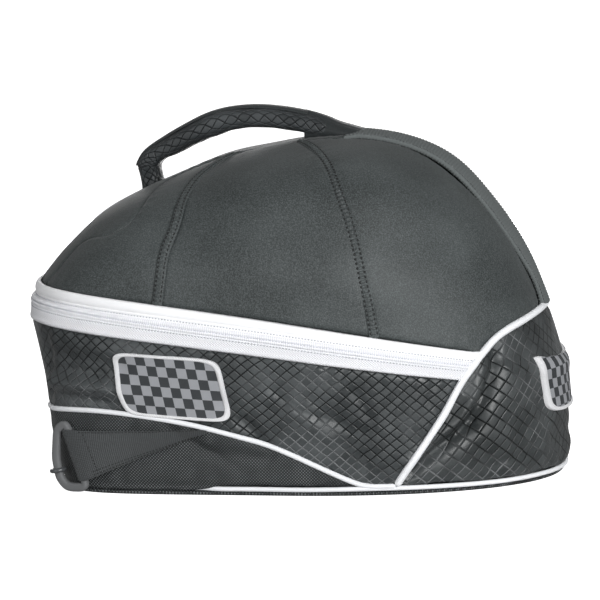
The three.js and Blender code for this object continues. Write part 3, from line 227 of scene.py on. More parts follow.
@dataclass(frozen=True)
class BodyForm:
    """The bag's smooth outside, with its soft folds."""

    half_length: float = 196.5 * MM
    half_width: float = 135.5 * MM
    crown_height: float = 248.5 * MM
    crown_shift: float = 34 * MM
    rear_box: float = 2.2
    normal_step: float = 0.04
    fold_top: float = 2.2
    shift: float = 0.0

    def at(self, angle: Array, level: Array) -> Array:
        """Points of the form.

        Args:
            angle: Degrees round the body, 0 at the rear and 90 on the near side.
            level: 0 at the base, 1 and 2 at the zip's foot and head, 3 at the crown.

        Returns:
            One point for each place.
        """
        angle, level = np.broadcast_arrays(np.radians(np.asarray(angle, float)), np.asarray(level, float))
        low = np.minimum(level, 2)
        front, rear, side, front_box, taper = np.moveaxis(SECTIONS.read(low), -1, 0)
        high_front, high_middle, high_rear = np.moveaxis(HEIGHTS.read(low), -1, 0)
        rise = np.clip(level - 2, 0, 1)
        cap_front, cap_rear, cap_side = np.moveaxis(DOME.read(rise), -1, 0)
        lift = np.sin(rise * math.pi / 2)
        middle = self.crown_shift * lift
        cos, sin = np.cos(angle), np.sin(angle)
        rearwards = (rear * self.half_length - middle) * cap_rear
        forwards = (front * self.half_length + middle) * cap_front
        along = np.maximum(np.where(cos >= 0, rearwards, forwards), 1e-9)
        across = np.maximum(side * self.half_width * cap_side, 1e-9)
        box = mix(np.where(cos >= 0, self.rear_box, front_box), 2, lift)
        reach = ((np.abs(cos) / along) ** box + (np.abs(sin) / across) ** box) ** (-1 / box)
        x = reach * cos
        y = -reach * sin * (1 - taper * (1 - lift) * x / self.half_length)
        share = (x + middle) / self.half_length
        slope = (high_rear - high_front) / 2
        curve = (high_rear + high_front) / 2 - high_middle
        height = high_middle + slope * share + curve * share**2
        return np.stack([x + middle + self.shift, y, mix(height, 1, lift) * self.crown_height], -1)

    @staticmethod
    def disk(angle: Array, level: Array) -> Array:
        """Places on a flat disk: the crown in its middle and the base round its rim."""
        turn = np.radians(angle)
        return np.stack([np.cos(turn), np.sin(turn)], -1) * (3 - np.asarray(level, float))[..., None]

    @staticmethod
    def polar(disk: Array) -> tuple[Array, Array]:
        """Angle and level of places on the disk."""
        return np.degrees(np.arctan2(disk[..., 1], disk[..., 0])), 3 - np.linalg.norm(disk, axis=-1)

    def on_disk(self, disk: Array) -> Array:
        """Points of the form at places on the disk."""
        return self.at(*self.polar(disk))

    def fold_height(self, angle: Array, height: Array) -> Array:
        """How far the soft folds lift the skin."""
        per_degree = math.radians(self.half_width)
        spot = np.stack([angle * per_degree, height], -1)
        total = np.zeros(len(spot))
        for width, depth, corners in FOLDS:
            for side in Side:
                path = np.array(corners) * [side.sign * per_degree, self.crown_height]
                away = np.min([beside_line(spot, *ends) for ends in zip(path, path[1:])], axis=0)
                total += depth * MM * bell(away, width * MM)
        return total

    def skin(self, disk: Array, height: Array | float = 0.0) -> tuple[Array, Array]:
        """Points at a height off the folded skin, and the ways out there.

        Args:
            disk: Places on the disk, one row each.
            height: How far off the skin, in metres.

        Returns:
            The points and the outward unit vectors.
        """
        point = self.on_disk(disk)
        step = self.normal_step
        slopes = [
            self.on_disk(disk + np.array(way)) - self.on_disk(disk - np.array(way))
            for way in ((0.0, step), (step, 0.0))
        ]
        out = unit(np.cross(slopes[0], slopes[1]))
        angle, level = self.polar(disk)
        fold = np.where(level < self.fold_top, self.fold_height(angle, point[:, 2]), 0)
        return point + out * (np.broadcast_to(height, len(disk)) + fold)[:, None], out

    def level_at(self, angle: Array, height: Array | float) -> Array:
        """Levels at which the wall reaches a height."""
        angle = np.asarray(angle, float)
        low, high = np.zeros_like(angle), np.full_like(angle, 2.0)
        for _ in range(30):
            middle = (low + high) / 2
            under = self.at(angle, middle)[..., 2] < height
            low, high = np.where(under, middle, low), np.where(under, high, middle)
        return low

    def over_plan(self, x: Array, y: Array) -> Array:
        """Disk places over points of the plan: the nearest known place, then small steps to it."""
        angle, level = np.meshgrid(np.arange(0, 360, 6.0), np.arange(2.0, 3.0, 0.04))
        places = self.disk(angle.ravel(), level.ravel())
        known = self.on_disk(places)[:, :2]
        goal = np.stack(np.broadcast_arrays(x, y), -1).reshape(-1, 2)
        nearest = ((goal[:, None] - known[None]) ** 2).sum(-1).argmin(1)
        disk = places[nearest].copy()
        step, longest = 1e-4, 0.03
        for _ in range(20):
            at = self.on_disk(disk)[:, :2]
            dx = (self.on_disk(disk + [step, 0])[:, :2] - at) / step
            dy = (self.on_disk(disk + [0, step])[:, :2] - at) / step
            size = dx[:, 0] * dy[:, 1] - dx[:, 1] * dy[:, 0]
            error = goal - at
            first = error[:, 0] * dy[:, 1] - error[:, 1] * dy[:, 0]
            second = dx[:, 0] * error[:, 1] - dx[:, 1] * error[:, 0]
            move = np.stack([first, second], -1) / size[:, None]
            length = np.linalg.norm(move, axis=-1, keepdims=True)
            disk += move * np.minimum(1, longest / np.maximum(length, 1e-12))
        return disk


class Seam:
    """A line through disk places, read by its share of the length along the skin."""

    def __init__(self, form: BodyForm, disks: Array, count: int = 480) -> None:
        """Draws a smooth curve through the places and measures it."""
        self.form = form
        disks = np.asarray(disks, float)
        padded = np.vstack([2 * disks[0] - disks[1], disks, 2 * disks[-1] - disks[-2]])
        at = np.linspace(0, len(disks) - 1, count + 1)
        i = np.minimum(at.astype(int), len(disks) - 2)
        t = (at - i)[:, None]
        p0, p1, p2, p3 = (padded[i + k] for k in range(4))
        gaps = [np.sqrt(np.linalg.norm(b - a, axis=-1))[:, None] for a, b in ((p0, p1), (p1, p2), (p2, p3))]
        start = (p1 - p0) / gaps[0] - (p2 - p0) / (gaps[0] + gaps[1]) + (p2 - p1) / gaps[1]
        end = (p2 - p1) / gaps[1] - (p3 - p1) / (gaps[1] + gaps[2]) + (p3 - p2) / gaps[2]
        start, end = start * gaps[1], end * gaps[1]
        square, cube = -3 * p1 + 3 * p2 - 2 * start - end, 2 * p1 - 2 * p2 + start + end
        self.disks = p1 + start * t + square * t**2 + cube * t**3
        self.lengths = lengths_along(form.on_disk(self.disks))
        self.length = float(self.lengths[-1])

    def at(self, share: Array | float) -> Array:
        """Disk places at shares of the length."""
        goal = np.clip(share, 0, 1) * self.length
        return np.stack([np.interp(goal, self.lengths, self.disks[:, k]) for k in range(2)], -1)

    def share_where(self, test: Callable[[Array], Array]) -> float:
        """The share at which a test of the disk places first holds."""
        shares = np.linspace(0, 1, 8001)
        return float(shares[np.argmax(test(self.at(shares)))])

    def run(self, start: float = 0.0, end: float = 1.0, power: float = 1.0) -> Edge:
        """The seam between two shares as an edge. A power over one crowds it to the start."""
        return lambda t: self.at(mix(start, end, np.asarray(t) ** power))


def flipped(edge: Edge) -> Edge:
    """The same edge on the far side."""
    return lambda t: edge(t) * np.array([1.0, -1.0])


def and_back(edge: Edge) -> Edge:
    """The edge up to the middle, then its mirror image back."""

    def both(t: Array) -> Array:
        """Reads the two halves."""
        t = np.asarray(t, float)
        place = edge(1 - np.abs(1 - 2 * t))
        return place * np.stack([np.ones_like(t), np.where(t > 0.5, -1.0, 1.0)], -1)

    return both


def arc(start: float, end: float, level: float | Callable[[Array], Array]) -> Edge:
    """An edge between two angles at a level, or at a level worked out from the angle."""

    def edge(t: Array) -> Array:
        """Reads the arc."""
        angle = mix(start, end, np.asarray(t, float))
        return BodyForm.disk(angle, level(angle) if callable(level) else np.full_like(angle, level))

    return edge


def patch(bottom: Edge, top: Edge, left: Edge, right: Edge) -> Callable[[Array, Array], Array]:
    """Fills the space inside four edges that meet at their corners."""
    zero, one = np.zeros(1), np.ones(1)
    corners = [bottom(zero), bottom(one), top(zero), top(one)]

    def inside(u: Array, v: Array) -> Array:
        """Reads the patch."""
        a, b = u[:, None], v[:, None]
        return (
            bottom(u) * (1 - b)
            + top(u) * b
            + left(v) * (1 - a)
            + right(v) * a
            - corners[0] * (1 - a) * (1 - b)
            - corners[1] * a * (1 - b)
            - corners[2] * (1 - a) * b
            - corners[3] * a * b
        )

    return inside


class Line:
    """A seam as points in space, from which the cloth beside it is shaped."""

    def __init__(self, form: BodyForm, edge: Edge, step: float = 0.5 * MM) -> None:
        """Samples the edge at even steps of its length."""
        tries = np.linspace(0, 1, 400)
        lengths = lengths_along(form.skin(edge(tries))[0])
        count = max(int(lengths[-1] / step), 8)
        shares = np.interp(np.linspace(0, lengths[-1], count), lengths, tries)
        self.points, self.outs = form.skin(edge(shares))
        self.lengths = lengths_along(self.points)
        self.length = float(self.lengths[-1])
        self.squares = (self.points**2).sum(1)

    def measure(self, points: Array) -> tuple[Array, Array]:
        """Distance of points from the seam, and how far along it the nearest place is."""
        nearest = np.empty(len(points), int)
        batch = 4096
        for start in range(0, len(points), batch):
            part = points[start : start + batch]
            nearest[start : start + batch] = (self.squares - 2 * part @ self.points.T).argmin(1)
        return np.linalg.norm(points - self.points[nearest], axis=-1), self.lengths[nearest]

    def frame(self) -> tuple[Array, Array, Array]:
        """Ways along, across and out at each sample."""
        along = unit(np.gradient(self.points, axis=0))
        across = unit(np.cross(along, self.outs))
        return along, across, np.cross(across, along)


@dataclass(frozen=True)
class Ripple:
    """Smooth unevenness made of seeded waves."""

    seed: int
    wavelength: float
    waves: int = 7

    def at(self, points: Array) -> Array:
        """Height between about minus one and one at each point."""
        source = np.random.default_rng(self.seed)
        ways = unit(source.normal(size=(self.waves, 3)))
        rates = 2 * math.pi / (self.wavelength * source.uniform(0.7, 1.6, self.waves))
        phases = source.uniform(0, 2 * math.pi, self.waves)
        return np.sin(points @ (ways * rates[:, None]).T + phases).sum(1) / math.sqrt(self.waves)


@dataclass(frozen=True)
class Gather:
    """How cloth is drawn in along a seam: a groove at it and small puckers that run away from it."""

    line: Line
    groove: float = 1.0 * MM
    width: float = 2.4 * MM
    pucker: float = 0.35 * MM
    spacing: float = 9 * MM
    fade: float = 9 * MM
    seed: int = 1

    def at(self, points: Array) -> Array:
        """Height of the cloth beside the seam."""
        distance, along = self.line.measure(points)
        wobble = Ripple(self.seed, 0.05).at(points)
        wave = np.sin(2 * math.pi * along / self.spacing + 2.2 * wobble)
        start = 1 - bell(distance, 1.6 * MM)
        pucker = self.pucker * wave * np.exp(-distance / self.fade) * start * (0.7 + 0.5 * wobble)
        return pucker - self.groove * bell(distance, self.width)


# Finishes

class Tree:
    """A node material under construction."""

    def __init__(self, name: str) -> None:
        """Starts with an output and a surface shader."""
        self.material = bpy.data.materials.new(name)
        self.material.use_nodes = True
        self.nodes = self.material.node_tree.nodes
        self.links = self.material.node_tree.links
        self.nodes.clear()
        self.output = self.nodes.new("ShaderNodeOutputMaterial")
        self.surface = self.nodes.new("ShaderNodeBsdfPrincipled")
        self.links.new(self.surface.outputs[0], self.output.inputs[0])

    def feed(self, socket: Socket, value: object) -> None:
        """Links a socket to another, or sets its constant."""
        if isinstance(value, Socket):
            self.links.new(value, socket)
        else:
            socket.default_value = value

    def put(self, name: str, value: object) -> None:
        """Feeds an input of the surface shader."""
        self.feed(self.surface.inputs[name], value)

    def math(self, kind: str, a: object, b: object = 0.0, c: object = 0.0) -> Socket:
        """One step of arithmetic."""
        node = self.nodes.new("ShaderNodeMath")
        node.operation = kind
        for socket, value in zip(node.inputs, (a, b, c)):
            self.feed(socket, value)
        return node.outputs[0]

    def where(self) -> Socket:
        """Place on the object, in metres."""
        return self.nodes.new("ShaderNodeTexCoord").outputs["Object"]

    def flat(self) -> tuple[Socket, Socket]:
        """Along and across, from the piece's own map."""
        source = self.nodes.new("ShaderNodeUVMap")
        source.uv_map = "cloth"
        split = self.nodes.new("ShaderNodeSeparateXYZ")
        self.links.new(source.outputs[0], split.inputs[0])
        return split.outputs[0], split.outputs[1]

    def noise(self, scale: float, detail: float = 3.0, rough: float = 0.6) -> Socket:
        """Noise over the object."""
        node = self.nodes.new("ShaderNodeTexNoise")
        self.feed(node.inputs["Vector"], self.where())
        node.inputs["Scale"].default_value = scale
        node.inputs["Detail"].default_value = detail
        node.inputs["Roughness"].default_value = rough
        return node.outputs[0]

    def chance(self, a: object, b: object) -> Socket:
        """One random value for each pair of whole numbers."""
        join = self.nodes.new("ShaderNodeCombineXYZ")
        self.feed(join.inputs[0], a)
        self.feed(join.inputs[1], b)
        node = self.nodes.new("ShaderNodeTexWhiteNoise")
        self.links.new(join.outputs[0], node.inputs["Vector"])
        return node.outputs["Value"]

    def colours(self, share: object, low: Sequence[float], high: Sequence[float]) -> Socket:
        """Colour between two, by a share."""
        node = self.nodes.new("ShaderNodeMix")
        node.data_type = "RGBA"
        self.feed(node.inputs[0], share)
        node.inputs[6].default_value = (*low, 1.0)
        node.inputs[7].default_value = (*high, 1.0)
        return node.outputs[2]

    def spread(self, value: object, low: float, high: float, to_low: float, to_high: float) -> Socket:
        """Value moved from one range to another, and held inside it."""
        node = self.nodes.new("ShaderNodeMapRange")
        for socket, part in zip(node.inputs, (value, low, high, to_low, to_high)):
            self.feed(socket, part)
        return node.outputs[0]

    def bump(self, height: object, distance: float, strength: float = 1.0) -> None:
        """Adds fine relief to the surface shader."""
        node = self.nodes.new("ShaderNodeBump")
        node.inputs["Strength"].default_value = strength
        node.inputs["Distance"].default_value = distance
        self.feed(node.inputs["Height"], height)
        self.links.new(node.outputs[0], self.surface.inputs["Normal"])


@dataclass(frozen=True)
class Softshell:
    """Matt knit cloth with a faint fleck, lightened in broad soft patches as a painted highlight."""

    name: str = "softshell_knit"
    dark: tuple[float, float, float] = (0.022, 0.0265, 0.0265)
    light: tuple[float, float, float] = (0.118, 0.133, 0.135)
    rough: float = 0.55

    def build(self) -> bpy.types.Material:
        """Makes the material."""
        tree = Tree(self.name)
        fleck = tree.noise(1100, 2.0, 0.75)
        # The broad cloud lightens the cloth in soft patches: a painted highlight. The fine fleck is the
        # knit's own.
        cloud = tree.noise(17, 2.0, 0.45)
        share = tree.math(
            "ADD", tree.spread(fleck, 0.42, 0.8, 0, 0.8), tree.spread(cloud, 0.35, 0.65, 0.0, 0.2)
        )
        tree.put("Base Color", tree.colours(share, self.dark, self.light))
        tree.put("Roughness", tree.spread(fleck, 0.2, 0.8, self.rough - 0.07, self.rough + 0.1))
        tree.put("Specular IOR Level", 0.3)
        tree.put("Sheen Weight", 0.08)
        tree.put("Sheen Roughness", 0.4)
        tree.bump(fleck, 0.35 * MM, 0.5)
        return tree.material


@dataclass(frozen=True)
class Ripstop:
    """Dark cloth with a grid of thicker threads that makes diamonds, with painted sheen: the threads turn
    light in soft patches and some cells are painted lighter.
    """

    name: str = "ripstop_diamond"
    width: float = 9.0 * MM
    height: float = 7.5 * MM
    slant: float = 0.0
    line: float = 0.075
    dark: tuple[float, float, float] = (0.016, 0.019, 0.02)
    light: tuple[float, float, float] = (0.085, 0.094, 0.097)
    threads: tuple[float, float, float] = (0.004, 0.005, 0.005)
    # Colour of the threads where the painted sheen lights them.
    lit: tuple[float, float, float] = (0.2, 0.208, 0.215)

    def build(self) -> bpy.types.Material:
        """Makes the material."""
        tree = Tree(self.name)
        along, across = tree.flat()
        warp = tree.math("MULTIPLY", tree.math("SUBTRACT", tree.noise(28, 2.0, 0.5), 0.5), 0.0045)
        tilted = tree.math("MULTIPLY_ADD", along, self.slant, across)
        s = tree.math("DIVIDE", tree.math("ADD", along, warp), self.width)
        t = tree.math("DIVIDE", tree.math("ADD", tilted, warp), self.height)
        cells, ridges = [], []
        for kind in ("ADD", "SUBTRACT"):
            value = tree.math(kind, s, t)
            cells.append(tree.math("FLOOR", value))
            away = tree.math("ABSOLUTE", tree.math("SUBTRACT", tree.math("FRACT", value), 0.5))
            ridges.append(tree.math("MULTIPLY", away, 2.0))
        edge = tree.math("MAXIMUM", *ridges)
        seam = tree.spread(edge, 1 - 2 * self.line, 1 - self.line, 0, 1)
        # Each cell draws one random value: it sets the cell's roughness, and lifts the cell's colour as a
        # painted sheen.
        own = tree.chance(*cells)
        weave = tree.noise(900, 2.0, 0.7)
        cloud = tree.noise(24, 3.0, 0.55)
        share = tree.math(
            "ADD",
            tree.math("MULTIPLY", own, 0.22),
            tree.math("ADD", tree.spread(cloud, 0.35, 0.7, 0, 0.5), tree.spread(weave, 0.3, 0.8, 0, 0.2)),
        )
        cloth = tree.colours(share, self.dark, self.light)
        node = tree.nodes.new("ShaderNodeMix")
        node.data_type = "RGBA"
        tree.feed(node.inputs[0], tree.math("MULTIPLY", seam, 0.95))
        tree.feed(node.inputs[6], cloth)
        # Painted sheen: the threads are painted light in soft noise patches, as if they caught the light.
        painted_thread_sheen = tree.spread(tree.noise(22, 2.0, 0.5), 0.5, 0.64, 0, 0.9)
        tree.feed(node.inputs[7], tree.colours(painted_thread_sheen, self.threads, self.lit))
        tree.put("Base Color", node.outputs[2])
        tree.put("Roughness", tree.math("ADD", tree.math("MULTIPLY", own, 0.2), 0.3))
        tree.put("Specular IOR Level", 0.35)
        puff = tree.math("SUBTRACT", 1.0, tree.math("POWER", edge, 9.0))
        grain = tree.math("MULTIPLY", weave, 0.12)
        tree.bump(tree.math("ADD", puff, grain), 0.9 * MM, 0.8)
        return tree.material


@dataclass(frozen=True)
class Basket:
    """Coarse ballistic cloth: a basket weave of shiny yarns."""

    name: str = "ballistic_basket"
    pitch: float = 2.3 * MM
    dark: tuple[float, float, float] = (0.008, 0.0095, 0.01)
    light: tuple[float, float, float] = (0.17, 0.185, 0.19)

    def build(self) -> bpy.types.Material:
        """Makes the material."""
        tree = Tree(self.name)
        along, across = tree.flat()
        waves = []
        for value, phase in ((along, 0.0), (across, 0.0)):
            turn = tree.math("MULTIPLY_ADD", value, 2 * math.pi / self.pitch, phase)
            waves.append(tree.math("SINE", turn))
        weave = tree.math("MULTIPLY", *waves)
        yarn = tree.spread(weave, 0.0, 0.8, 0, 1)
        cloud = tree.noise(30, 3.0, 0.6)
        share = tree.math("MULTIPLY", yarn, tree.spread(cloud, 0.3, 0.7, 0.35, 1))
        tree.put("Base Color", tree.colours(share, self.dark, self.light))
        tree.put("Roughness", 0.48)
        tree.put("Specular IOR Level", 0.35)
        tree.bump(weave, 0.35 * MM, 0.7)
        return tree.material


@dataclass(frozen=True)
class Ribbed:
    """Cloth or tape with fine ribs across its length."""

    name: str
    dark: tuple[float, float, float]
    light: tuple[float, float, float]
    pitch: float = 1.6 * MM
    across_pitch: float = 0.0
    rough: float = 0.7
    depth: float = 0.4 * MM
    slant: float = 0.0

    def build(self) -> bpy.types.Material:
        """Makes the material."""
        tree = Tree(self.name)
        along, across = tree.flat()
        leaned = along
        if self.slant:
            zigzag = tree.math("PINGPONG", across, 2.2 * MM)
            leaned = tree.math("MULTIPLY_ADD", zigzag, self.slant, along)
        ribs = tree.math("SINE", tree.math("MULTIPLY", leaned, 2 * math.pi / self.pitch))
        if self.across_pitch:
            other = tree.math("SINE", tree.math("MULTIPLY", across, 2 * math.pi / self.across_pitch))
            ribs = tree.math("MULTIPLY_ADD", other, 0.6, ribs)
        fuzz = tree.noise(1100, 2.0, 0.7)
        share = tree.math("ADD", tree.spread(ribs, -1, 1, 0, 0.65), tree.spread(fuzz, 0.3, 0.75, 0, 0.35))
        tree.put("Base Color", tree.colours(share, self.dark, self.light))
        tree.put("Roughness", self.rough)
        tree.put("Sheen Weight", 0.1)
        tree.bump(tree.math("MULTIPLY_ADD", fuzz, 0.3, ribs), self.depth, 0.6)
        return tree.material


@dataclass(frozen=True)
class Plain:
    """Moulded plastic, coated metal or thread, with fine grain."""

    name: str
    colour: tuple[float, float, float]
    rough: float = 0.4
    metal: float = 0.0
    grain: float = 900.0
    depth: float = 0.12 * MM
    coat: float = 0.0

    def build(self) -> bpy.types.Material:
        """Makes the material."""
        tree = Tree(self.name)
        grain = tree.noise(self.grain, 3.0, 0.6)
        worn = tree.noise(self.grain / 14, 3.0, 0.6)
        low = tuple(part * 0.78 for part in self.colour)
        high = tuple(min(part * 1.25, 1.0) for part in self.colour)
        tree.put("Base Color", tree.colours(tree.spread(worn, 0.3, 0.7, 0, 1), low, high))
        tree.put("Roughness", tree.spread(grain, 0.2, 0.8, self.rough - 0.06, self.rough + 0.08))
        tree.put("Metallic", self.metal)
        tree.put("Coat Weight", self.coat)
        tree.bump(grain, self.depth, 0.4)
        return tree.material


@dataclass(frozen=True)
class Chequers:
    """Embroidered field of squares in two greys."""

    name: str = "patch_chequers"
    square: float = 7.0 * MM
    dark: tuple[float, float, float] = (0.03, 0.034, 0.038)
    light: tuple[float, float, float] = (0.3, 0.31, 0.33)

    def build(self) -> bpy.types.Material:
        """Makes the material."""
        tree = Tree(self.name)
        along, across = tree.flat()
        cells = [tree.math("FLOOR", tree.math("DIVIDE", value, self.square)) for value in (along, across)]
        odd = tree.math("PINGPONG", tree.math("ADD", *cells), 1.0)
        tree.put("Base Color", tree.colours(odd, self.dark, self.light))
        tree.put("Roughness", 0.55)
        ribs = tree.math("SINE", tree.math("MULTIPLY", across, 2 * math.pi / (0.8 * MM)))
        fuzz = tree.noise(1500, 2.0, 0.7)
        tree.bump(tree.math("ADD", ribs, fuzz), 0.25 * MM, 0.6)
        return tree.material


class Finish(Enum):
    """Every finish of the bag, with the record's slot it belongs to."""

    SOFTSHELL = ("softshell", Softshell())
    TRIM = ("softshell", Softshell("softshell_binding", (0.018, 0.021, 0.022), (0.035, 0.04, 0.041), 0.5))
    RIPSTOP = ("ripstop", Ripstop())
    RIPSTOP_REAR = (
        "ripstop",
        Ripstop(
            "ripstop_square", 10.5 * MM, 10.0 * MM, 0.25,
            0.07, (0.012, 0.0145, 0.015), (0.08, 0.088, 0.09),
        ),
    )
    GRIP = (
        "ripstop",
        Ripstop(
            "ripstop_grip", 8.0 * MM, 7.0 * MM, 0.1,
            0.06, (0.01, 0.012, 0.013), (0.06, 0.067, 0.071), lit=(0.02, 0.021, 0.022),
        ),
    )
    BASKET = ("ballistic", Basket())
    SPINE = (
        "rib_mesh",
        Ribbed(
            "rib_mesh", (0.004, 0.005, 0.005), (0.11, 0.12, 0.122), 2.4 * MM,
            0, 0.7, 0.8 * MM,
        ),
    )
    TAPE = (
        "zip_tape",
        Ribbed(
            "zip_tape_twill", (0.66, 0.67, 0.71), (0.86, 0.865, 0.885), 1.9 * MM,
            0, 0.6, 0.35 * MM, 1.4,
        ),
    )
    SATIN = (
        "zip_tape",
        Ribbed(
            "zip_tape_satin", (0.82, 0.825, 0.845), (0.88, 0.885, 0.9), 0.7 * MM,
            0, 0.45, 0.08 * MM,
        ),
    )
    COIL = (
        "zip_coil",
        Ribbed(
            "zip_coil_thread", (0.64, 0.65, 0.69), (0.9, 0.905, 0.93), 1.5 * MM,
            0, 0.5, 0.1 * MM,
        ),
    )
    PIPING = (
        "piping",
        Ribbed(
            "piping_satin", (0.78, 0.8, 0.83), (0.9, 0.91, 0.93), 1.0 * MM,
            0, 0.45, 0.15 * MM, 1.0,
        ),
    )
    WEBBING = (
        "webbing",
        Ribbed(
            "webbing_ribs", (0.014, 0.016, 0.017), (0.06, 0.066, 0.069), 1.4 * MM,
            1.2 * MM, 0.62, 0.2 * MM,
        ),
    )
    RING = ("ring_plastic", Plain("ring_plastic", (0.007, 0.008, 0.009), 0.34))
    BEAD = ("bead_plastic", Plain("bead_plastic", (0.018, 0.021, 0.023), 0.12, coat=0.6))
    SLIDER = ("slider_metal", Plain("slider_metal", (0.05, 0.052, 0.056), 0.3, 0.9))
    THREAD = ("thread", Plain("thread_dark", (0.004, 0.005, 0.005), 0.6, grain=2500.0))
    THREAD_GREY = ("thread", Plain("thread_grey", (0.09, 0.098, 0.1), 0.5, grain=2500.0))
    THREAD_PALE = ("thread", Plain("thread_pale", (0.36, 0.37, 0.41), 0.6, grain=2500.0))
    PATCH = ("patch", Chequers())
    BORDER = (
        "patch",
        Ribbed(
            "patch_border", (0.6, 0.61, 0.63), (0.84, 0.84, 0.85), 0.8 * MM,
            0, 0.5, 0.25 * MM,
        ),
    )

    @property
    def slot(self) -> str:
        """Name of the record's slot."""
        return self.value[0]

    def material(self) -> bpy.types.Material:
        """The material, made on its first use."""
        found = bpy.data.materials.get(self.value[1].name)
        return found or self.value[1].build()


class Maker:
    """Turns grids and parts of the form into dressed pieces."""

    def __init__(self, form: BodyForm) -> None:
        """Keeps the form and a list of what was made."""
        self.form = form
        self.made: list[bpy.types.Object] = []

    def dress(
        self,
        mesh: bpy.types.Mesh,
        name: str,
        finish: Finish,
        nodes: Sequence[str] = (),
        fill: float | None = None,
    ) -> bpy.types.Object:
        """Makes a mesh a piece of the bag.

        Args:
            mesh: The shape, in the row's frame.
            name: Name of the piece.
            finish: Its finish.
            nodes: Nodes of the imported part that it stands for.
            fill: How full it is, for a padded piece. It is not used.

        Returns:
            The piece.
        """
        piece = bpy.data.objects.new(name, mesh)
        bpy.context.scene.collection.objects.link(piece)
        mesh.materials.append(finish.material())
        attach(piece, "root")
        if nodes:
            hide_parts(*nodes)
        finish.slot
        self.made.append(piece)
        log.info("%s: %d faces", name, len(mesh.polygons))
        return piece

    @staticmethod
    def grid(
        name: str,
        columns: int,
        rows: int,
        place: Callable[[Array, Array], tuple[Array, Array | None]],
        chart: Callable[[Array, Array, Array], Array] | None = None,
        closed: bool = False,
        capped: bool = False,
    ) -> bpy.types.Mesh:
        """A mesh from a grid whose corners are put in place by a function.

        Args:
            name: Name of the mesh.
            columns: Cells along.
            rows: Cells across.
            place: Gives points, and the ways out there or None, for shares along and across.
            chart: Gives the cloth map for shares and points. Without it the shares are the map.
            closed: Whether opposite edges or an edge that shrinks to a point are joined.
            capped: Whether open ends are filled.

        Returns:
            The mesh, facing out.
        """
        shape = bmesh.new()
        bmesh.ops.create_grid(shape, x_segments=columns, y_segments=rows, size=0.5)
        mesh = as_mesh(shape, name)
        flat = np.empty(len(mesh.vertices) * 3)
        mesh.vertices.foreach_get("co", flat)
        flat = flat.reshape(-1, 3)
        u, v = np.clip(flat[:, 0] + 0.5, 0, 1), np.clip(flat[:, 1] + 0.5, 0, 1)
        points, outs = place(u, v)
        mesh.vertices.foreach_set("co", points.ravel())
        corners = np.empty(len(mesh.loops), int)
        mesh.loops.foreach_get("vertex_index", corners)
        where = chart(u, v, points) if chart else np.stack([u, v], -1)
        layer = mesh.uv_layers.new(name="cloth")
        layer.data.foreach_set("uv", where[corners].ravel())
        mesh.update()
        shape = bmesh.new()
        shape.from_mesh(mesh)
        if outs is not None:
            normals = np.empty(len(mesh.vertices) * 3)
            mesh.vertices.foreach_get("normal", normals)
            if (normals.reshape(-1, 3) * outs).sum() < 0:
                bmesh.ops.reverse_faces(shape, faces=shape.faces)
        if closed:
            bmesh.ops.remove_doubles(shape, verts=shape.verts, dist=1e-7)
            thin = [face for face in shape.faces if face.calc_area() < 1e-14]
            bmesh.ops.delete(shape, geom=thin, context="FACES")
        if capped:
            rim = [edge for edge in shape.edges if edge.is_boundary]
            bmesh.ops.holes_fill(shape, edges=rim, sides=0)
        if outs is None:
            bmesh.ops.recalc_face_normals(shape, faces=shape.faces)
        for face in shape.faces:
            face.smooth = True
        shape.to_mesh(mesh)
        shape.free()
        return mesh

    @staticmethod
    def thicken(piece: bpy.types.Object, thickness: float) -> None:
        """Gives a sheet its thickness, inwards."""
        solid = piece.modifiers.new("thickness", "SOLIDIFY")
        solid.thickness = thickness
        solid.offset = -1
        solid.use_even_offset = False

    @staticmethod
    def tube(
        points: Array, outs: Array, radius: Array | float, sides: int = 12, loop: bool = False
    ) -> Callable[[Array, Array], tuple[Array, None]]:
        """Places for a grid wrapped round a middle line.

        Args:
            points: The middle line.
            outs: The way out at each of its points, which keeps the tube from twisting.
            radius: Radius, one number or one for each point.
            sides: Cells round the tube.
            loop: Whether the line closes on itself.

        Returns:
            A function for grid.
        """
        if loop:
            around = np.vstack([points[-1:], points, points[:1]])
            along = unit(around[2:] - around[:-2])
        else:
            along = unit(np.gradient(points, axis=0))
        across = unit(np.cross(along, outs))
        up = np.cross(across, along)
        count = len(points)
        radii = np.broadcast_to(radius, count)

        def place(u: Array, v: Array) -> tuple[Array, None]:
            """Puts the grid round the line."""
            i = np.rint(u * (count if loop else count - 1)).astype(int) % count
            turn = 2 * math.pi * np.rint(v * sides) / sides
            spoke = across[i] * np.cos(turn)[:, None] + up[i] * np.sin(turn)[:, None]
            return points[i] + spoke * radii[i][:, None], None

        return place


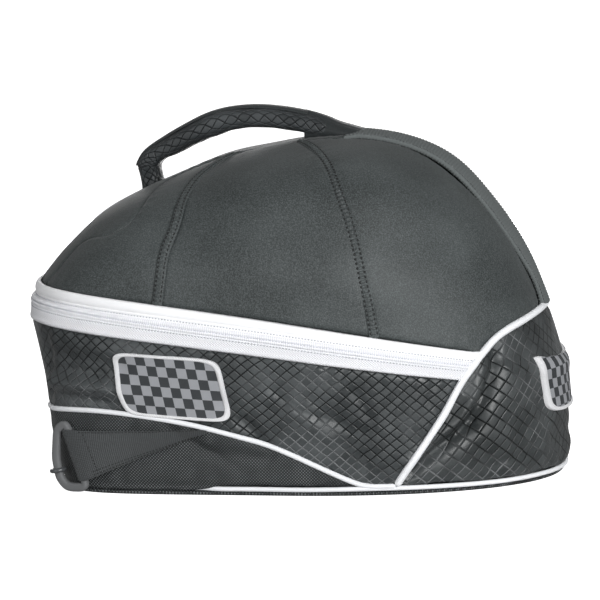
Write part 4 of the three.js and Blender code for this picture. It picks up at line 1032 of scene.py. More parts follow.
@dataclass
class Layout:
    """Where the seams of the bag run, shared by all its pieces."""

    form: BodyForm
    base_thickness: float = 3.3 * MM
    base_cord: float = 1.7 * MM
    rear_cord: float = 2.0 * MM
    lower_cord: float = 1.4 * MM
    gap: float = 0.3 * MM
    strip_angle: float = 154.0
    front_angle: float = 124.0
    middle_angle: float = 62.5
    foot_angle: float = 84.0
    lower_end: float = 60.0
    strip_neck: int = 8
    columns: tuple[int, int, int, int] = (10, 8, 6, 6)

    def __post_init__(self) -> None:
        """Draws every seam."""
        form = self.form
        self.wall_foot = self.base_thickness + 2 * self.base_cord + 2 * self.gap
        self.rear = Seam(form, form.disk(*np.array(REAR_SEAM, float).T))
        self.foot_share = self.rear.share_where(lambda disk: form.on_disk(disk)[:, 2] >= self.wall_foot)
        self.foot_level = float(form.polar(self.rear.at(self.foot_share))[1])
        self.head_share = self.rear.share_where(lambda disk: form.polar(disk)[1] >= 2)
        self.spine_share = self.rear.share_where(lambda disk: form.polar(disk)[0] < 8)
        shares = np.linspace(0, 1, 600)
        self.rear_angles, self.rear_levels = form.polar(self.rear.at(shares))
        strip = np.array(STRIP_EDGE)
        edge = form.over_plan(strip[:, 0] * form.half_length + form.shift, -strip[:, 1] * form.half_width)
        start = form.disk(np.array([self.strip_angle]), np.array([2.0]))
        self.strip = Seam(form, np.vstack([start, edge]))
        spine = np.array(SPINE_EDGE)
        edge = form.over_plan(spine[:, 0] * form.half_length + form.shift, -spine[:, 1] * form.half_width)
        self.spine = Seam(form, np.vstack([edge, self.rear.at(np.array([self.spine_share]))]))
        self.neck = self.behind(STRIP_EDGE[self.strip_neck][0])
        self.front_meet = self.behind(-0.26)
        self.rear_meet = self.behind(-0.01)
        self.front_dome = self.dome_seam(FRONT_DOME_SEAM, self.front_meet)
        self.rear_dome = self.dome_seam(REAR_DOME_SEAM, self.rear_meet)
        angles = np.linspace(-180, 360, 1081)
        ring = form.at(angles, np.full_like(angles, 0.8))
        self.chart_angles, self.chart_lengths = angles, lengths_along(ring[:, :2])

    def behind(self, x: float) -> float:
        """Share of the strip's edge behind a share of the half length."""
        goal = x * self.form.half_length + self.form.shift
        return self.strip.share_where(lambda disk: self.form.on_disk(disk)[:, 0] > goal)

    def dome_seam(self, rows: tuple[tuple[float, float], ...], meet: float) -> Seam:
        """A seam over the dome that ends on the strip."""
        disks = self.form.disk(*np.array(rows, float).T)
        return Seam(self.form, np.vstack([disks, self.strip.at(np.array([meet]))]))

    def rear_angle(self, level: Array) -> Array:
        """Angle of the rear seam at levels."""
        return np.interp(level, self.rear_levels, self.rear_angles)

    def front_share(self, angle: Array) -> Array:
        """Nothing at the sides and the rear, and one round the front, where cloth hides the base cord."""
        share = np.clip((np.minimum(angle, 360 - angle) - 107) / 10, 0, 1)
        return share**2 * (3 - 2 * share)

    def low_edge(self, angle: Array) -> Array:
        """Level at which the side panel starts."""
        foot = self.form.level_at(angle, self.wall_foot)
        front = np.abs(180 - angle)
        lower = np.where(front < 180 - self.lower_end, LOWER_SEAM.read(np.minimum(front, 120))[..., 0], 0)
        return np.maximum(foot, lower)

    def column_angle(self, share: Array, level: Array) -> Array:
        """Angle of a column that runs round the front, between the two ends of the rear seam."""
        near = np.minimum(share, 1 - share)
        total = 2 * sum(self.columns[:3]) + self.columns[3]
        column = near * total
        spread = mix(self.foot_angle, self.middle_angle, np.clip(level / 2, 0, 1))
        rear = self.rear_angle(level)
        knots = np.cumsum([0, *self.columns[:3]])
        angle = np.where(
            column < knots[1],
            mix(rear, spread, column / knots[1]),
            np.where(
                column < knots[2],
                mix(spread, self.front_angle, (column - knots[1]) / self.columns[1]),
                np.where(
                    column < knots[3],
                    mix(self.front_angle, self.strip_angle, (column - knots[2]) / self.columns[2]),
                    mix(self.strip_angle, 180.0, (column - knots[3]) / (self.columns[3] / 2)),
                ),
            ),
        )
        return np.where(share > 0.5, 360 - angle, angle)

    def low_places(self, share: Array) -> tuple[Array, Array]:
        """Angles and levels where columns meet the foot of the side panel."""
        level = np.full_like(share, self.foot_level)
        for _ in range(6):
            level = self.low_edge(self.column_angle(share, level))
        return self.column_angle(share, level), level

    def zip_line(self, level: float) -> Edge:
        """The line along the zip at one level, round the front."""
        return lambda t: self.form.disk(self.column_angle(t, np.full_like(t, level)), np.full_like(t, level))

    def strip_side(self, t: Array) -> Array:
        """Near edge of the strip, from the zip to the spine."""
        knots = np.array([0, 8, 14, 22, 24]) / 24
        return self.strip.at(np.interp(t, knots, [0, self.neck, self.front_meet, self.rear_meet, 1]))

    def across_neck(self, t: Array) -> Array:
        """Line across the strip where the spine starts."""
        near = self.strip.at(np.array([1.0]))[0]
        t = np.asarray(t, float)
        return np.stack([np.full_like(t, near[0]), mix(near[1], -near[1], t)], -1)

    def chart(self, disk: Array, points: Array) -> Array:
        """Cloth map of the walls: length round the body, and height."""
        angle = self.form.polar(disk)[0]
        return np.stack([np.interp(angle, self.chart_angles, self.chart_lengths), points[:, 2]], -1)

    def wall_spot(self, along: Array, height: Array) -> Array:
        """Disk places at lengths round the body and heights up the wall."""
        angle = np.interp(along, self.chart_lengths, self.chart_angles)
        return self.form.disk(angle, self.form.level_at(angle, height))


@dataclass
class SheetShape:
    """How a cloth panel is cut into cells, and how it is shaped."""

    region: Callable[[Array, Array], Array]
    columns: int
    rows: int
    gathers: Sequence[Gather] = ()
    lift: Callable[[Array, Array], Array] | None = None
    ripple: float = 0.35 * MM
    wavelength: float = 60 * MM
    seed: int = 3
    thickness: float = 2.6 * MM
    cloth: tuple[float, float] | None = None


class PanelBuilder:
    """Makes cloth panels that lie on the form."""

    def __init__(self, maker: Maker, layout: Layout) -> None:
        """Keeps what the panels share."""
        self.maker = maker
        self.layout = layout

    def build(
        self,
        name: str,
        shape: SheetShape,
        finish: Finish,
        nodes: Sequence[str],
        fill: float | None,
        side: Side = Side.NEAR,
    ) -> bpy.types.Object:
        """Makes one panel.

        Args:
            name: Name of the piece.
            shape: Its region and relief.
            finish: Its finish.
            nodes: Nodes that it stands for.
            fill: How full it is, or None.
            side: Side of the bag.

        Returns:
            The piece.
        """
        form, layout = self.maker.form, self.layout

        def place(u: Array, v: Array) -> tuple[Array, Array]:
            """Puts the grid on the form."""
            disk = shape.region(u, v)
            height = shape.lift(u, v) if shape.lift else np.zeros(len(u))
            points, outs = form.skin(disk, height)
            plain = points.copy()
            more = shape.ripple * Ripple(shape.seed, shape.wavelength).at(plain)
            for gather in shape.gathers:
                more = more + gather.at(plain)
            points = points + outs * more[:, None]
            if side is Side.FAR:
                points, outs = points * [1, -1, 1], outs * [1, -1, 1]
            return points, outs

        def chart(u: Array, v: Array, points: Array) -> Array:
            """Cloth map of the panel."""
            if shape.cloth:
                return np.stack([v * shape.cloth[0], u * shape.cloth[1]], -1)
            return layout.chart(shape.region(u, v), points)

        mesh = self.maker.grid(name, shape.columns, shape.rows, place, chart)
        piece = self.maker.dress(mesh, name, finish, nodes, fill)
        if shape.thickness:
            self.maker.thicken(piece, shape.thickness)
        return piece


@dataclass
class Walls:
    """The ripstop wall, the coarse cloth under it and the wall behind the rear seam."""

    panels: PanelBuilder
    thickness: float = 2.6 * MM

    def build(self) -> dict[str, bpy.types.Object]:
        """Makes the three panels."""
        layout = self.panels.layout
        form = layout.form
        zip_foot = Line(form, lambda t: form.disk(layout.column_angle(t, np.ones_like(t)), np.ones_like(t)))
        low = Line(form, self.low_line)
        rear_near = Line(form, layout.rear.run(layout.foot_share, 1.0))
        rear_far = Line(form, flipped(layout.rear.run(layout.foot_share, 1.0)))
        base = Line(form, lambda t: form.disk(360 * t, form.level_at(360 * t, layout.wall_foot)))

        def side(u: Array, v: Array) -> Array:
            """Region of the side panel."""
            level = mix(layout.low_places(u)[1], 1.0, v)
            return form.disk(layout.column_angle(u, level), level)

        beside = [
            Gather(zip_foot, 1.0 * MM, 1.6 * MM, 0.5 * MM, 13 * MM, 10 * MM, 11),
            Gather(low, 1.3 * MM, 2.2 * MM, 0.7 * MM, 15 * MM, 11 * MM, 12),
            Gather(rear_near, 1.4 * MM, 2.8 * MM, 0.4 * MM, 14 * MM, 11 * MM, 13),
            Gather(rear_far, 1.4 * MM, 2.8 * MM, 0.4 * MM, 14 * MM, 11 * MM, 14),
        ]
        made = {
            "side": self.panels.build(
                "ripstop_wall",
                SheetShape(side, 500, 52, beside, None, 0.7 * MM, 48 * MM, 21, self.thickness),
                Finish.RIPSTOP,
                ["side_panel"],
                0.3,
            )
        }

        def lower(u: Array, v: Array) -> Array:
            """Region of the lower panel."""
            angle = mix(layout.lower_end + 5.0, 355.0 - layout.lower_end, u)
            foot = form.level_at(angle, layout.wall_foot - 3.4 * MM * layout.front_share(angle))
            return form.disk(angle, mix(foot, np.maximum(layout.low_edge(angle), foot + 0.002), v))

        made["lower"] = self.panels.build(
            "ballistic_wall",
            SheetShape(
                lower,
                520,
                30,
                [
                    Gather(low, 1.2 * MM, 2.0 * MM, 0.8 * MM, 17 * MM, 12 * MM, 15),
                    Gather(base, 0.9 * MM, 2.0 * MM, 0.6 * MM, 19 * MM, 10 * MM, 16),
                ],
                None,
                0.6 * MM,
                44 * MM,
                22,
                self.thickness,
            ),
            Finish.BASKET,
            ["lower_panel"],
            0.2,
        )
        foot_angle = float(form.polar(layout.rear.at(layout.foot_share))[0])
        near = layout.rear.run(layout.foot_share, layout.head_share)
        rear = patch(
            arc(foot_angle, -foot_angle, lambda angle: form.level_at(angle, layout.wall_foot)),
            and_back(layout.rear.run(layout.head_share, 1.0)),
            near,
            flipped(near),
        )
        made["rear"] = self.panels.build(
            "rear_wall",
            SheetShape(
                rear,
                150,
                70,
                [
                    Gather(rear_near, 1.5 * MM, 3.0 * MM, 0.4 * MM, 15 * MM, 12 * MM, 17),
                    Gather(rear_far, 1.5 * MM, 3.0 * MM, 0.4 * MM, 15 * MM, 12 * MM, 18),
                    Gather(base, 0.8 * MM, 2.0 * MM, 0.7 * MM, 18 * MM, 10 * MM, 19),
                ],
                None,
                0.9 * MM,
                46 * MM,
                23,
                self.thickness,
            ),
            Finish.RIPSTOP_REAR,
            ["rear_panel"],
            0.3,
        )
        return made

    def low_line(self, t: Array) -> Array:
        """Foot of the side panel as an edge."""
        layout = self.panels.layout
        return layout.form.disk(*layout.low_places(np.asarray(t, float)))


@dataclass
class Lid:
    """The padded dome: six panels, the strip along the middle and the ribbed spine."""

    panels: PanelBuilder
    thickness: float = 3.2 * MM
    spine_rise: float = 3.8 * MM
    spine_edge: float = 1.0 * MM
    rib_pitch: float = 2.4 * MM
    rib_depth: float = 0.6 * MM
    ribbon_half: float = 3.8 * MM
    ribbon_rise: float = 0.75 * MM
    ribbon_round: float = 1.6 * MM
    ladder_rise: float = 0.45 * MM
    hole_depth: float = 0.8 * MM
    puff: float = 1.1 * MM
    puff_length: float = 80 * MM
    spine_width: float = 24 * MM
    row_offset: float = 2.2 * MM
    stitch_pitch: float = 3.3 * MM

    def build(self) -> dict[str, bpy.types.Object]:
        """Makes every panel of the lid."""
        layout = self.panels.layout
        form = layout.form
        head = Line(form, layout.zip_line(2.0))
        strip = Line(form, layout.strip_side)
        strip_far = Line(form, flipped(layout.strip_side))
        spine = Line(form, layout.spine.run())
        front = Line(form, layout.front_dome.run())
        rear = Line(form, layout.rear_dome.run())
        tail = Line(form, layout.rear.run(layout.head_share, 1.0))
        self.lines = {"front": front, "rear": rear, "spine": spine}
        zip_side = Gather(head, 1.3 * MM, 1.8 * MM, 0.3 * MM, 12 * MM, 8 * MM, 31)
        by_strip = Gather(strip, 0.8 * MM, 1.8 * MM, 0.35 * MM, 8 * MM, 8 * MM, 32)
        by_front = Gather(front, 0.9 * MM, 3.4 * MM, 0.3 * MM, 7 * MM, 7 * MM, 33)
        by_rear = Gather(rear, 0.9 * MM, 3.4 * MM, 0.3 * MM, 7 * MM, 7 * MM, 34)
        by_spine = Gather(spine, 1.0 * MM, 1.8 * MM, 0.3 * MM, 8 * MM, 7 * MM, 35)
        by_tail = Gather(tail, 1.4 * MM, 2.6 * MM, 0.5 * MM, 11 * MM, 9 * MM, 36)
        made: dict[str, bpy.types.Object] = {}
        upper = layout.rear.run(layout.head_share, layout.spine_share)
        front_edge = layout.front_dome.run(0, 1, 1.45)
        shapes = {
            "dome_front": (
                patch(
                    arc(layout.strip_angle, layout.front_angle, 2.0),
                    layout.strip.run(layout.neck, layout.front_meet),
                    layout.strip.run(0, layout.neck),
                    front_edge,
                ),
                60,
                90,
                [zip_side, by_strip, by_front],
            ),
            "dome_middle": (
                patch(
                    arc(layout.front_angle, layout.middle_angle, 2.0),
                    layout.strip.run(layout.front_meet, layout.rear_meet),
                    front_edge,
                    layout.rear_dome.run(),
                ),
                90,
                90,
                [zip_side, by_strip, by_front, by_rear],
            ),
            "dome_rear": (
                patch(
                    arc(layout.middle_angle, self.rear_end(), 2.0),
                    self.tail_edge,
                    layout.rear_dome.run(),
                    upper,
                ),
                100,
                90,
                [zip_side, by_strip, by_rear, by_spine, by_tail],
            ),
        }
        for key, (region, columns, rows, gathers) in shapes.items():
            for side in Side:
                shape = SheetShape(
                    region, columns, rows, gathers, None, self.puff, self.puff_length, 41, self.thickness
                )
                name = f"{key}_{side.value}"
                made[name] = self.panels.build(f"{name}_panel", shape, Finish.SOFTSHELL, [name], 0.6, side)
        region = patch(
            arc(layout.strip_angle, 360 - layout.strip_angle, 2.0),
            layout.across_neck,
            layout.strip_side,
            flipped(layout.strip_side),
        )
        by_far = Gather(strip_far, 0.8 * MM, 1.8 * MM, 0.35 * MM, 8 * MM, 8 * MM, 32)
        gathers = [zip_side, by_strip, by_far]
        shape = SheetShape(region, 70, 150, gathers, None, 0.5 * MM, 60 * MM, 42, self.thickness)
        made["front_strip"] = self.panels.build("middle_strip", shape, Finish.SOFTSHELL, ["front_strip"], 0.6)
        near = layout.spine.run()
        region = patch(
            layout.across_neck, and_back(layout.rear.run(layout.spine_share, 1.0)), near, flipped(near)
        )
        ribs = int(layout.spine.length / self.rib_pitch)

        def lift(u: Array, v: Array) -> Array:
            """Domed section with ribs across it."""
            dome = np.clip(np.sin(math.pi * u), 0, 1) ** 0.5
            rib = np.abs(np.sin(math.pi * v * ribs)) ** 0.8 - 0.6
            start = np.clip(v / 0.05, 0.15, 1)
            rib = self.rib_depth * rib * np.clip(dome * 2, 0, 1)
            return (mix(self.spine_edge, self.spine_rise, dome) + rib) * start

        cloth = (layout.spine.length, self.spine_width)
        shape = SheetShape(region, 24, ribs * 4, [], lift, 0.25 * MM, 50 * MM, 43, self.thickness, cloth)
        made["ribbed_spine"] = self.panels.build("spine_ribs", shape, Finish.SPINE, ["ribbed_spine"], 0.5)
        self.ribbons()
        return made

    def rear_end(self) -> float:
        """Angle at which the rear seam meets the zip's head."""
        return float(self.panels.layout.rear_angle(np.array([2.0]))[0])

    def tail_edge(self, t: Array) -> Array:
        """Edge of the rear dome panel along the strip's tail and the spine."""
        layout = self.panels.layout
        t = np.asarray(t, float)
        tail = layout.strip.at(mix(layout.rear_meet, 1.0, np.clip(t / 0.2, 0, 1)))
        spine = layout.spine.at(np.clip((t - 0.2) / 0.8, 0, 1))
        return np.where((t < 0.2)[:, None], tail, spine)

    def ribbons(self) -> None:
        """Lays the overlocked seams over the joins of the dome panels."""
        maker = self.panels.maker
        for key in ("front", "rear"):
            line = self.lines[key]
            along, across, up = line.frame()
            count = len(line.points)
            for side in Side:

                def place(u: Array, v: Array, line: Line = line, side: Side = side) -> tuple[Array, Array]:
                    """Puts the ribbon on the seam."""
                    i = np.rint(u * (count - 1)).astype(int)
                    w = mix(-1.0, 1.0, v)
                    off = w * self.ribbon_half
                    length = line.lengths[i]
                    ladder = np.cos(2 * math.pi * length / self.stitch_pitch)
                    holes = bell(np.abs(off) - self.row_offset, 0.5 * MM) * (0.65 - 0.35 * ladder)
                    height = self.ribbon_rise - self.ribbon_round * w**4 - self.hole_depth * holes
                    height = height + self.ladder_rise * ladder * bell(off, 1.4 * MM)
                    points = line.points[i] + across[i] * off[:, None] + up[i] * height[:, None]
                    outs = line.outs[i]
                    if side is Side.FAR:
                        points, outs = points * [1, -1, 1], outs * [1, -1, 1]
                    return points, outs

                name = f"seam_{key}_{side.value}"
                mesh = maker.grid(name, count - 1, 18, place)
                maker.dress(mesh, name, Finish.SOFTSHELL)


@dataclass
class Zip:
    """The white zip: a rolled upper tape, two corded ridges, a twill lower tape and the slider."""

    panels: PanelBuilder
    tape_thickness: float = 1.5 * MM
    coil_levels: tuple[float, float] = (1.27, 1.58)
    ridge_levels: tuple[float, float] = (1.355, 1.5)
    ridge_height: float = 2.5 * MM
    pitch: float = 1.55 * MM
    tape_rise: float = 0.9 * MM
    hem_rise: float = 0.7 * MM
    edge_drop: float = 1.6 * MM
    chain_length: float = 1.15
    ridge_half: float = 0.064
    band_rise: float = 0.3 * MM
    roll_rise: float = 2.1 * MM
    cord_rise: float = 1.0 * MM
    band_drop: float = 0.8 * MM

    def build(self) -> dict[str, bpy.types.Object]:
        """Makes the tapes, the ridges and the slider."""
        layout = self.panels.layout
        form = layout.form
        low, high = self.coil_levels

        def band(start: float, end: float) -> Callable[[Array, Array], Array]:
            """Region between two levels, clear of the rear cord."""

            def region(u: Array, v: Array) -> Array:
                """Reads the band."""
                level = mix(start, end, v)
                return form.disk(layout.column_angle(mix(0.0022, 0.9978, u), level), level)

            return region

        def lower_lift(u: Array, v: Array) -> Array:
            """A flat tape with a turned edge at its foot."""
            return self.tape_rise + self.hem_rise * bell(v - 0.12, 0.1) - self.edge_drop * bell(v, 0.04)

        def upper_lift(u: Array, v: Array) -> Array:
            """A valley, a fine cord and a rounded band."""
            roll = np.clip(1 - ((v - 0.64) / 0.36) ** 2, 0, 1) ** 0.5
            rise = self.band_rise + self.roll_rise * roll + self.cord_rise * bell(v - 0.2, 0.05)
            return rise - self.band_drop * bell(v - 1, 0.05)

        turns = int(self.chain_length / self.pitch)

        def coil_lift(u: Array, v: Array) -> Array:
            """Two ropes side by side."""
            level = mix(low, high, v)
            height = np.full(len(u), 0.1 * MM)
            for k, middle in enumerate(self.ridge_levels):
                away = (level - middle) / self.ridge_half
                round_part = np.sqrt(np.clip(1 - away**2, 0, 1))
                twist = np.sin(2 * math.pi * (u * turns) + (1.6 if k else -1.6) * away)
                height = np.maximum(height, 0.4 * MM + self.ridge_height * round_part * (0.9 + 0.13 * twist))
            return height

        tape = self.tape_thickness
        made = {
            "lower": self.panels.build(
                "tape_twill",
                SheetShape(band(1.0, low), 560, 16, [], lower_lift, 0.2 * MM, 40 * MM, 51, tape),
                Finish.TAPE,
                ["zip_tape_lower"],
                None,
            ),
            "upper": self.panels.build(
                "tape_rolled",
                SheetShape(band(high, 2.0), 560, 24, [], upper_lift, 0.2 * MM, 40 * MM, 52, tape),
                Finish.SATIN,
                ["zip_tape_upper"],
                None,
            ),
            "coil": self.panels.build(
                "zip_ropes",
                SheetShape(band(low, high), turns * 3, 20, [], coil_lift, 0.15 * MM, 40 * MM, 53, 0),
                Finish.COIL,
                ["zip_coil"],
                None,
            ),
        }
        self.slider()
        return made

    def slider(self) -> None:
        """Makes the slider and its pull at the middle of the front."""
        maker = self.panels.maker
        form = maker.form
        low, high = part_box("zip_slider")
        middle = (Vector(low) + Vector(high)) / 2
        point, out = form.skin(form.disk(np.array([180.0]), np.array([1.52])), 4.2 * MM)
        shape = bmesh.new()
        outward = Vector(out[0])
        across = Vector((0, 1, 0))
        upward = outward.cross(across).normalized()
        if upward.z < 0:
            upward.negate()
        turn = Matrix((across, upward, outward)).transposed().to_4x4()
        body = Matrix.Translation(Vector(point[0])) @ turn @ Matrix.Diagonal((13 * MM, 9 * MM, 3 * MM, 1))
        bmesh.ops.create_cube(shape, size=1, matrix=body)
        hang = Vector((middle.x - 0.4 * MM, 0, low[2] + 9.5 * MM))
        pull = Matrix.Translation(hang) @ Matrix.Diagonal((1.4 * MM, 5.2 * MM, 18 * MM, 1))
        bmesh.ops.create_cube(shape, size=1, matrix=pull)
        bridge = Matrix.Translation(Vector(point[0]) + outward * 1.4 * MM) @ turn
        bmesh.ops.create_cube(shape, size=1, matrix=bridge @ Matrix.Diagonal((3 * MM, 7 * MM, 2.4 * MM, 1)))
        bmesh.ops.bevel(
            shape, geom=shape.edges[:], offset=0.5 * MM, segments=2, profile=0.5, affect="EDGES", material=-1
        )
        maker.dress(as_mesh(shape, "slider_body"), "slider_body", Finish.SLIDER, ["zip_slider"])


@dataclass
class Cords:
    """The white pipings."""

    panels: PanelBuilder
    stand_off: float = 0.5 * MM
    swell: float = 1.3
    front_tuck: float = 4.6 * MM

    def build(self) -> None:
        """Makes the three pipings and the base plate."""
        layout, maker = self.panels.layout, self.panels.maker
        form = layout.form
        start = layout.rear.share_where(
            lambda disk: form.on_disk(disk)[:, 2] >= layout.wall_foot - 0.5 * MM
        )
        rear = Line(form, and_back(layout.rear.run(start, 1.0)), 1.2 * MM)
        self.cord("piping_rear", rear, layout.rear_cord * self.swell, "rear_piping", 90)
        clear = layout.wall_foot - 1 * MM
        shares = np.linspace(0, 1, 2001)
        low = form.disk(*layout.low_places(shares))
        open_shares = shares[form.on_disk(low)[:, 2] > clear]
        first, last = open_shares[0], open_shares[-1]
        lower = Line(form, lambda t: form.disk(*layout.low_places(mix(first, last, np.asarray(t)))), 1.2 * MM)
        self.cord("piping_lower", lower, layout.lower_cord * self.swell, "lower_piping", 60)
        count = 700
        angle = np.arange(count) * 360 / count
        points, outs = form.skin(form.disk(angle, np.full(count, 0.05)), self.stand_off)
        points[:, 2] = layout.base_thickness + layout.gap + layout.base_cord
        outs = unit(outs * [1, 1, 0])
        points -= outs * (self.front_tuck * layout.front_share(angle))[:, None]
        ripple = 0.25 * MM * Ripple(61, 0.09).at(points)
        points[:, 2] += ripple
        place = maker.tube(points, outs, layout.base_cord, 12, True)
        mesh = maker.grid(
            "piping_base", count, 12, place, lambda u, v, p: np.stack([u * 1.1, v * 0.01], -1), closed=True
        )
        maker.dress(mesh, "piping_base", Finish.PIPING, ["base_piping"])
        self.plate()

    def cord(self, name: str, line: Line, radius: float, node: str, rounds: int = 0) -> None:
        """Makes a cord along a line on the skin, with its bends evened out over some rounds."""
        maker = self.panels.maker
        points = line.points + line.outs * self.stand_off
        for _ in range(rounds):
            points[1:-1] = (points[:-2] + 2 * points[1:-1] + points[2:]) / 4
        ends = np.minimum(np.arange(len(points)), np.arange(len(points))[::-1])
        radii = radius * np.clip(0.35 + ends / 3, 0, 1) * (1 + 0.03 * Ripple(62, 0.03).at(points))
        place = maker.tube(points, line.outs, radii, 14)
        mesh = maker.grid(
            name,
            len(points) - 1,
            14,
            place,
            lambda u, v, p: np.stack([u * line.length, v * 0.012], -1),
            closed=True,
            capped=True,
        )
        maker.dress(mesh, name, Finish.PIPING, [node])

    def plate(self) -> None:
        """Makes the flat bottom with a rounded rim."""
        layout, maker = self.panels.layout, self.panels.maker
        form = layout.form
        count, rows = 360, 18
        ring = form.at(np.arange(count) * 360 / count, np.zeros(count))
        middle = np.array([ring[:, 0].mean(), 0, 0])
        thick = layout.base_thickness

        def place(u: Array, v: Array) -> tuple[Array, None]:
            """Puts the plate's section round the rim."""
            i = np.rint(u * count).astype(int) % count
            knots = np.array([0, 0.3, 0.36, 0.42, 0.5, 0.58, 0.64, 0.7, 1])
            reach = np.interp(v, knots, [0, 0.985, 0.994, 0.999, 1, 0.999, 0.994, 0.985, 0])
            height = np.interp(v, knots, [0, 0, 0.12, 0.3, 0.5, 0.7, 0.88, 1, 1]) * thick
            points = middle + (ring[i] * [1, 1, 0] - middle) * reach[:, None]
            points[:, 2] = height
            return points, None

        mesh = maker.grid(
            "bottom_plate", count, rows, place, lambda u, v, p: p[:, :2] + 1.0, closed=True
        )
        maker.dress(mesh, "bottom_plate", Finish.BASKET, ["base_panel"])


@dataclass
class Handle:
    """The padded grip with its binding and its two feet."""

    maker: Maker
    start: float = -130 * MM
    span: float = 127 * MM
    rise: float = 35 * MM
    grip_width: float = 27 * MM
    binding_width: float = 20 * MM
    binding: float = 1.4 * MM
    gap: float = 0.3 * MM
    squareness: float = 0.62
    foot_length: float = 17 * MM
    foot_back: float = 3 * MM
    stations: int = 176
    sides: int = 48

    def ground(self, x: Array) -> Array:
        """Height of the skin along the middle."""
        form = self.maker.form
        return form.skin(form.over_plan(x + form.shift, np.zeros_like(x)))[0][:, 2]

    def squared(self, value: Array) -> Array:
        """Pushes a circle's coordinate towards a square's."""
        return np.sign(value) * np.abs(value) ** self.squareness

    def rings(self) -> tuple[Array, Array, Array]:
        """Outer and inner edge of the grip and the way up at each station."""
        rows = GRIP.read(np.linspace(0, 11, self.stations))
        sides = []
        for x_share, rise in ((rows[:, 0], rows[:, 1]), (rows[:, 2], rows[:, 3])):
            x = self.start + x_share * self.span
            z = self.ground(x) + rise * self.rise
            sides.append(np.stack([x + self.maker.form.shift, np.zeros_like(x), z], -1))
        up = unit(sides[0] - sides[1])
        return sides[0] - up * (self.binding + self.gap), sides[1], up

    def build(self) -> None:
        """Makes the four pieces of the handle."""
        outer, inner, up = self.rings()
        middle = (outer + inner) / 2
        thick = np.linalg.norm(outer - inner, axis=-1) / 2
        count, sides = self.stations, self.sides
        length = lengths_along(middle)
        side_way = np.array([0.0, 1.0, 0.0])

        def grip(u: Array, v: Array) -> tuple[Array, None]:
            """Puts the padded grip round its middle line."""
            i = np.rint(u * (count - 1)).astype(int)
            turn = 2 * math.pi * np.rint(v * sides) / sides
            across, high = self.squared(np.cos(turn)), self.squared(np.sin(turn))
            flat = np.stack([length[i], across * 0.013, high * 0.01], -1)
            low = np.clip(0.4 - 0.8 * high, 0, 1)
            wrinkle = 0.3 * MM * Ripple(71, 0.016).at(flat) * low + 0.3 * MM * Ripple(72, 0.035).at(flat)
            edge = np.minimum(i, count - 1 - i) / (count - 1)
            tuck = 1.4 * MM * bell(edge, 0.03)
            points = middle[i] + side_way * (across * (self.grip_width / 2 + wrinkle - tuck))[:, None]
            return points + up[i] * (high * (thick[i] + wrinkle - tuck))[:, None], None

        mesh = self.maker.grid(
            "grip_pad",
            count - 1,
            sides,
            grip,
            lambda u, v, p: np.stack([u * length[-1], v * 0.08], -1),
            closed=True,
            capped=True,
        )
        self.maker.dress(mesh, "grip_pad", Finish.GRIP, ["handle_grip"], 0.8)

        def top_of(i: Array, y: Array) -> Array:
            """Drop of the grip's top away from its middle."""
            share = np.clip(np.abs(y) / (self.grip_width / 2), 0, 1)
            return ((1 - share ** (2 / self.squareness)) ** (self.squareness / 2) - 1) * thick[i]

        first, last = 8, int((self.stations - 1) * 9.4 / 11)

        def binding(u: Array, v: Array) -> tuple[Array, None]:
            """Puts the binding's section over the grip."""
            i = first + np.rint(u * (last - first)).astype(int)
            wide = mix(0.72, 1.02, (i - first) / (last - first)) * self.binding_width
            turn = 2 * math.pi * np.rint(v * 28) / 28
            y = np.cos(turn) * wide / 2
            rise = np.sign(np.sin(turn)) * np.abs(np.sin(turn)) ** 0.35
            crown = 0.5 * MM * (1 - (2 * y / wide) ** 2)
            height = top_of(i, y) + self.binding * (0.45 + 0.75 * rise) + crown * (rise > 0)
            return outer[i] + side_way * y[:, None] + up[i] * height[:, None], None

        mesh = self.maker.grid(
            "grip_binding",
            last - first,
            28,
            binding,
            lambda u, v, p: np.stack([u * 0.14, v * 0.05], -1),
            closed=True,
            capped=True,
        )
        self.maker.dress(mesh, "grip_binding", Finish.TRIM, ["handle_binding"])
        self.front_foot(outer, inner, up)
        self.rear_foot()

    def front_foot(self, outer: Array, inner: Array, up: Array) -> None:
        """Makes the foot from the strip up to the grip's front end."""
        form = self.maker.form
        run = unit(inner[5] - inner[0])
        middle = (outer[0] + inner[0]) / 2
        thick = float(np.linalg.norm(outer[0] - inner[0])) / 2
        sides, rows = 40, 24
        turn = 2 * math.pi * np.arange(sides) / sides
        wide, long = self.squared(np.cos(turn)), self.squared(np.sin(turn))
        x = middle[0] + self.foot_back - long * 0.92 * self.foot_length / 2
        low = form.skin(form.over_plan(x, wide * 0.92 * self.grip_width / 2), -0.6 * MM)[0]
        top = middle + np.array([0.0, 1.0, 0.0]) * (wide * self.grip_width / 2 * 0.97)[:, None]
        top = top + up[0] * (long * thick)[:, None] + run * 1.2 * MM

        def place(u: Array, v: Array) -> tuple[Array, None]:
            """Blends the foot's rings, with a gathered waist."""
            i = np.rint(v * sides).astype(int) % sides
            points = mix(low[i], top[i], u[:, None])
            centre = mix(low.mean(0), top.mean(0), u[:, None])
            pinch = 0.09 * np.sin(math.pi * u) + 0.035 * np.sin(9 * turn[i]) * np.sin(math.pi * u)
            return mix(points, centre, pinch[:, None]), None

        mesh = self.maker.grid(
            "foot_front",
            rows,
            sides,
            place,
            lambda u, v, p: np.stack([u * 0.02, v * 0.08], -1),
            closed=True,
            capped=True,
        )
        self.maker.dress(mesh, "foot_front", Finish.GRIP, ["handle_foot_front"], 0.5)

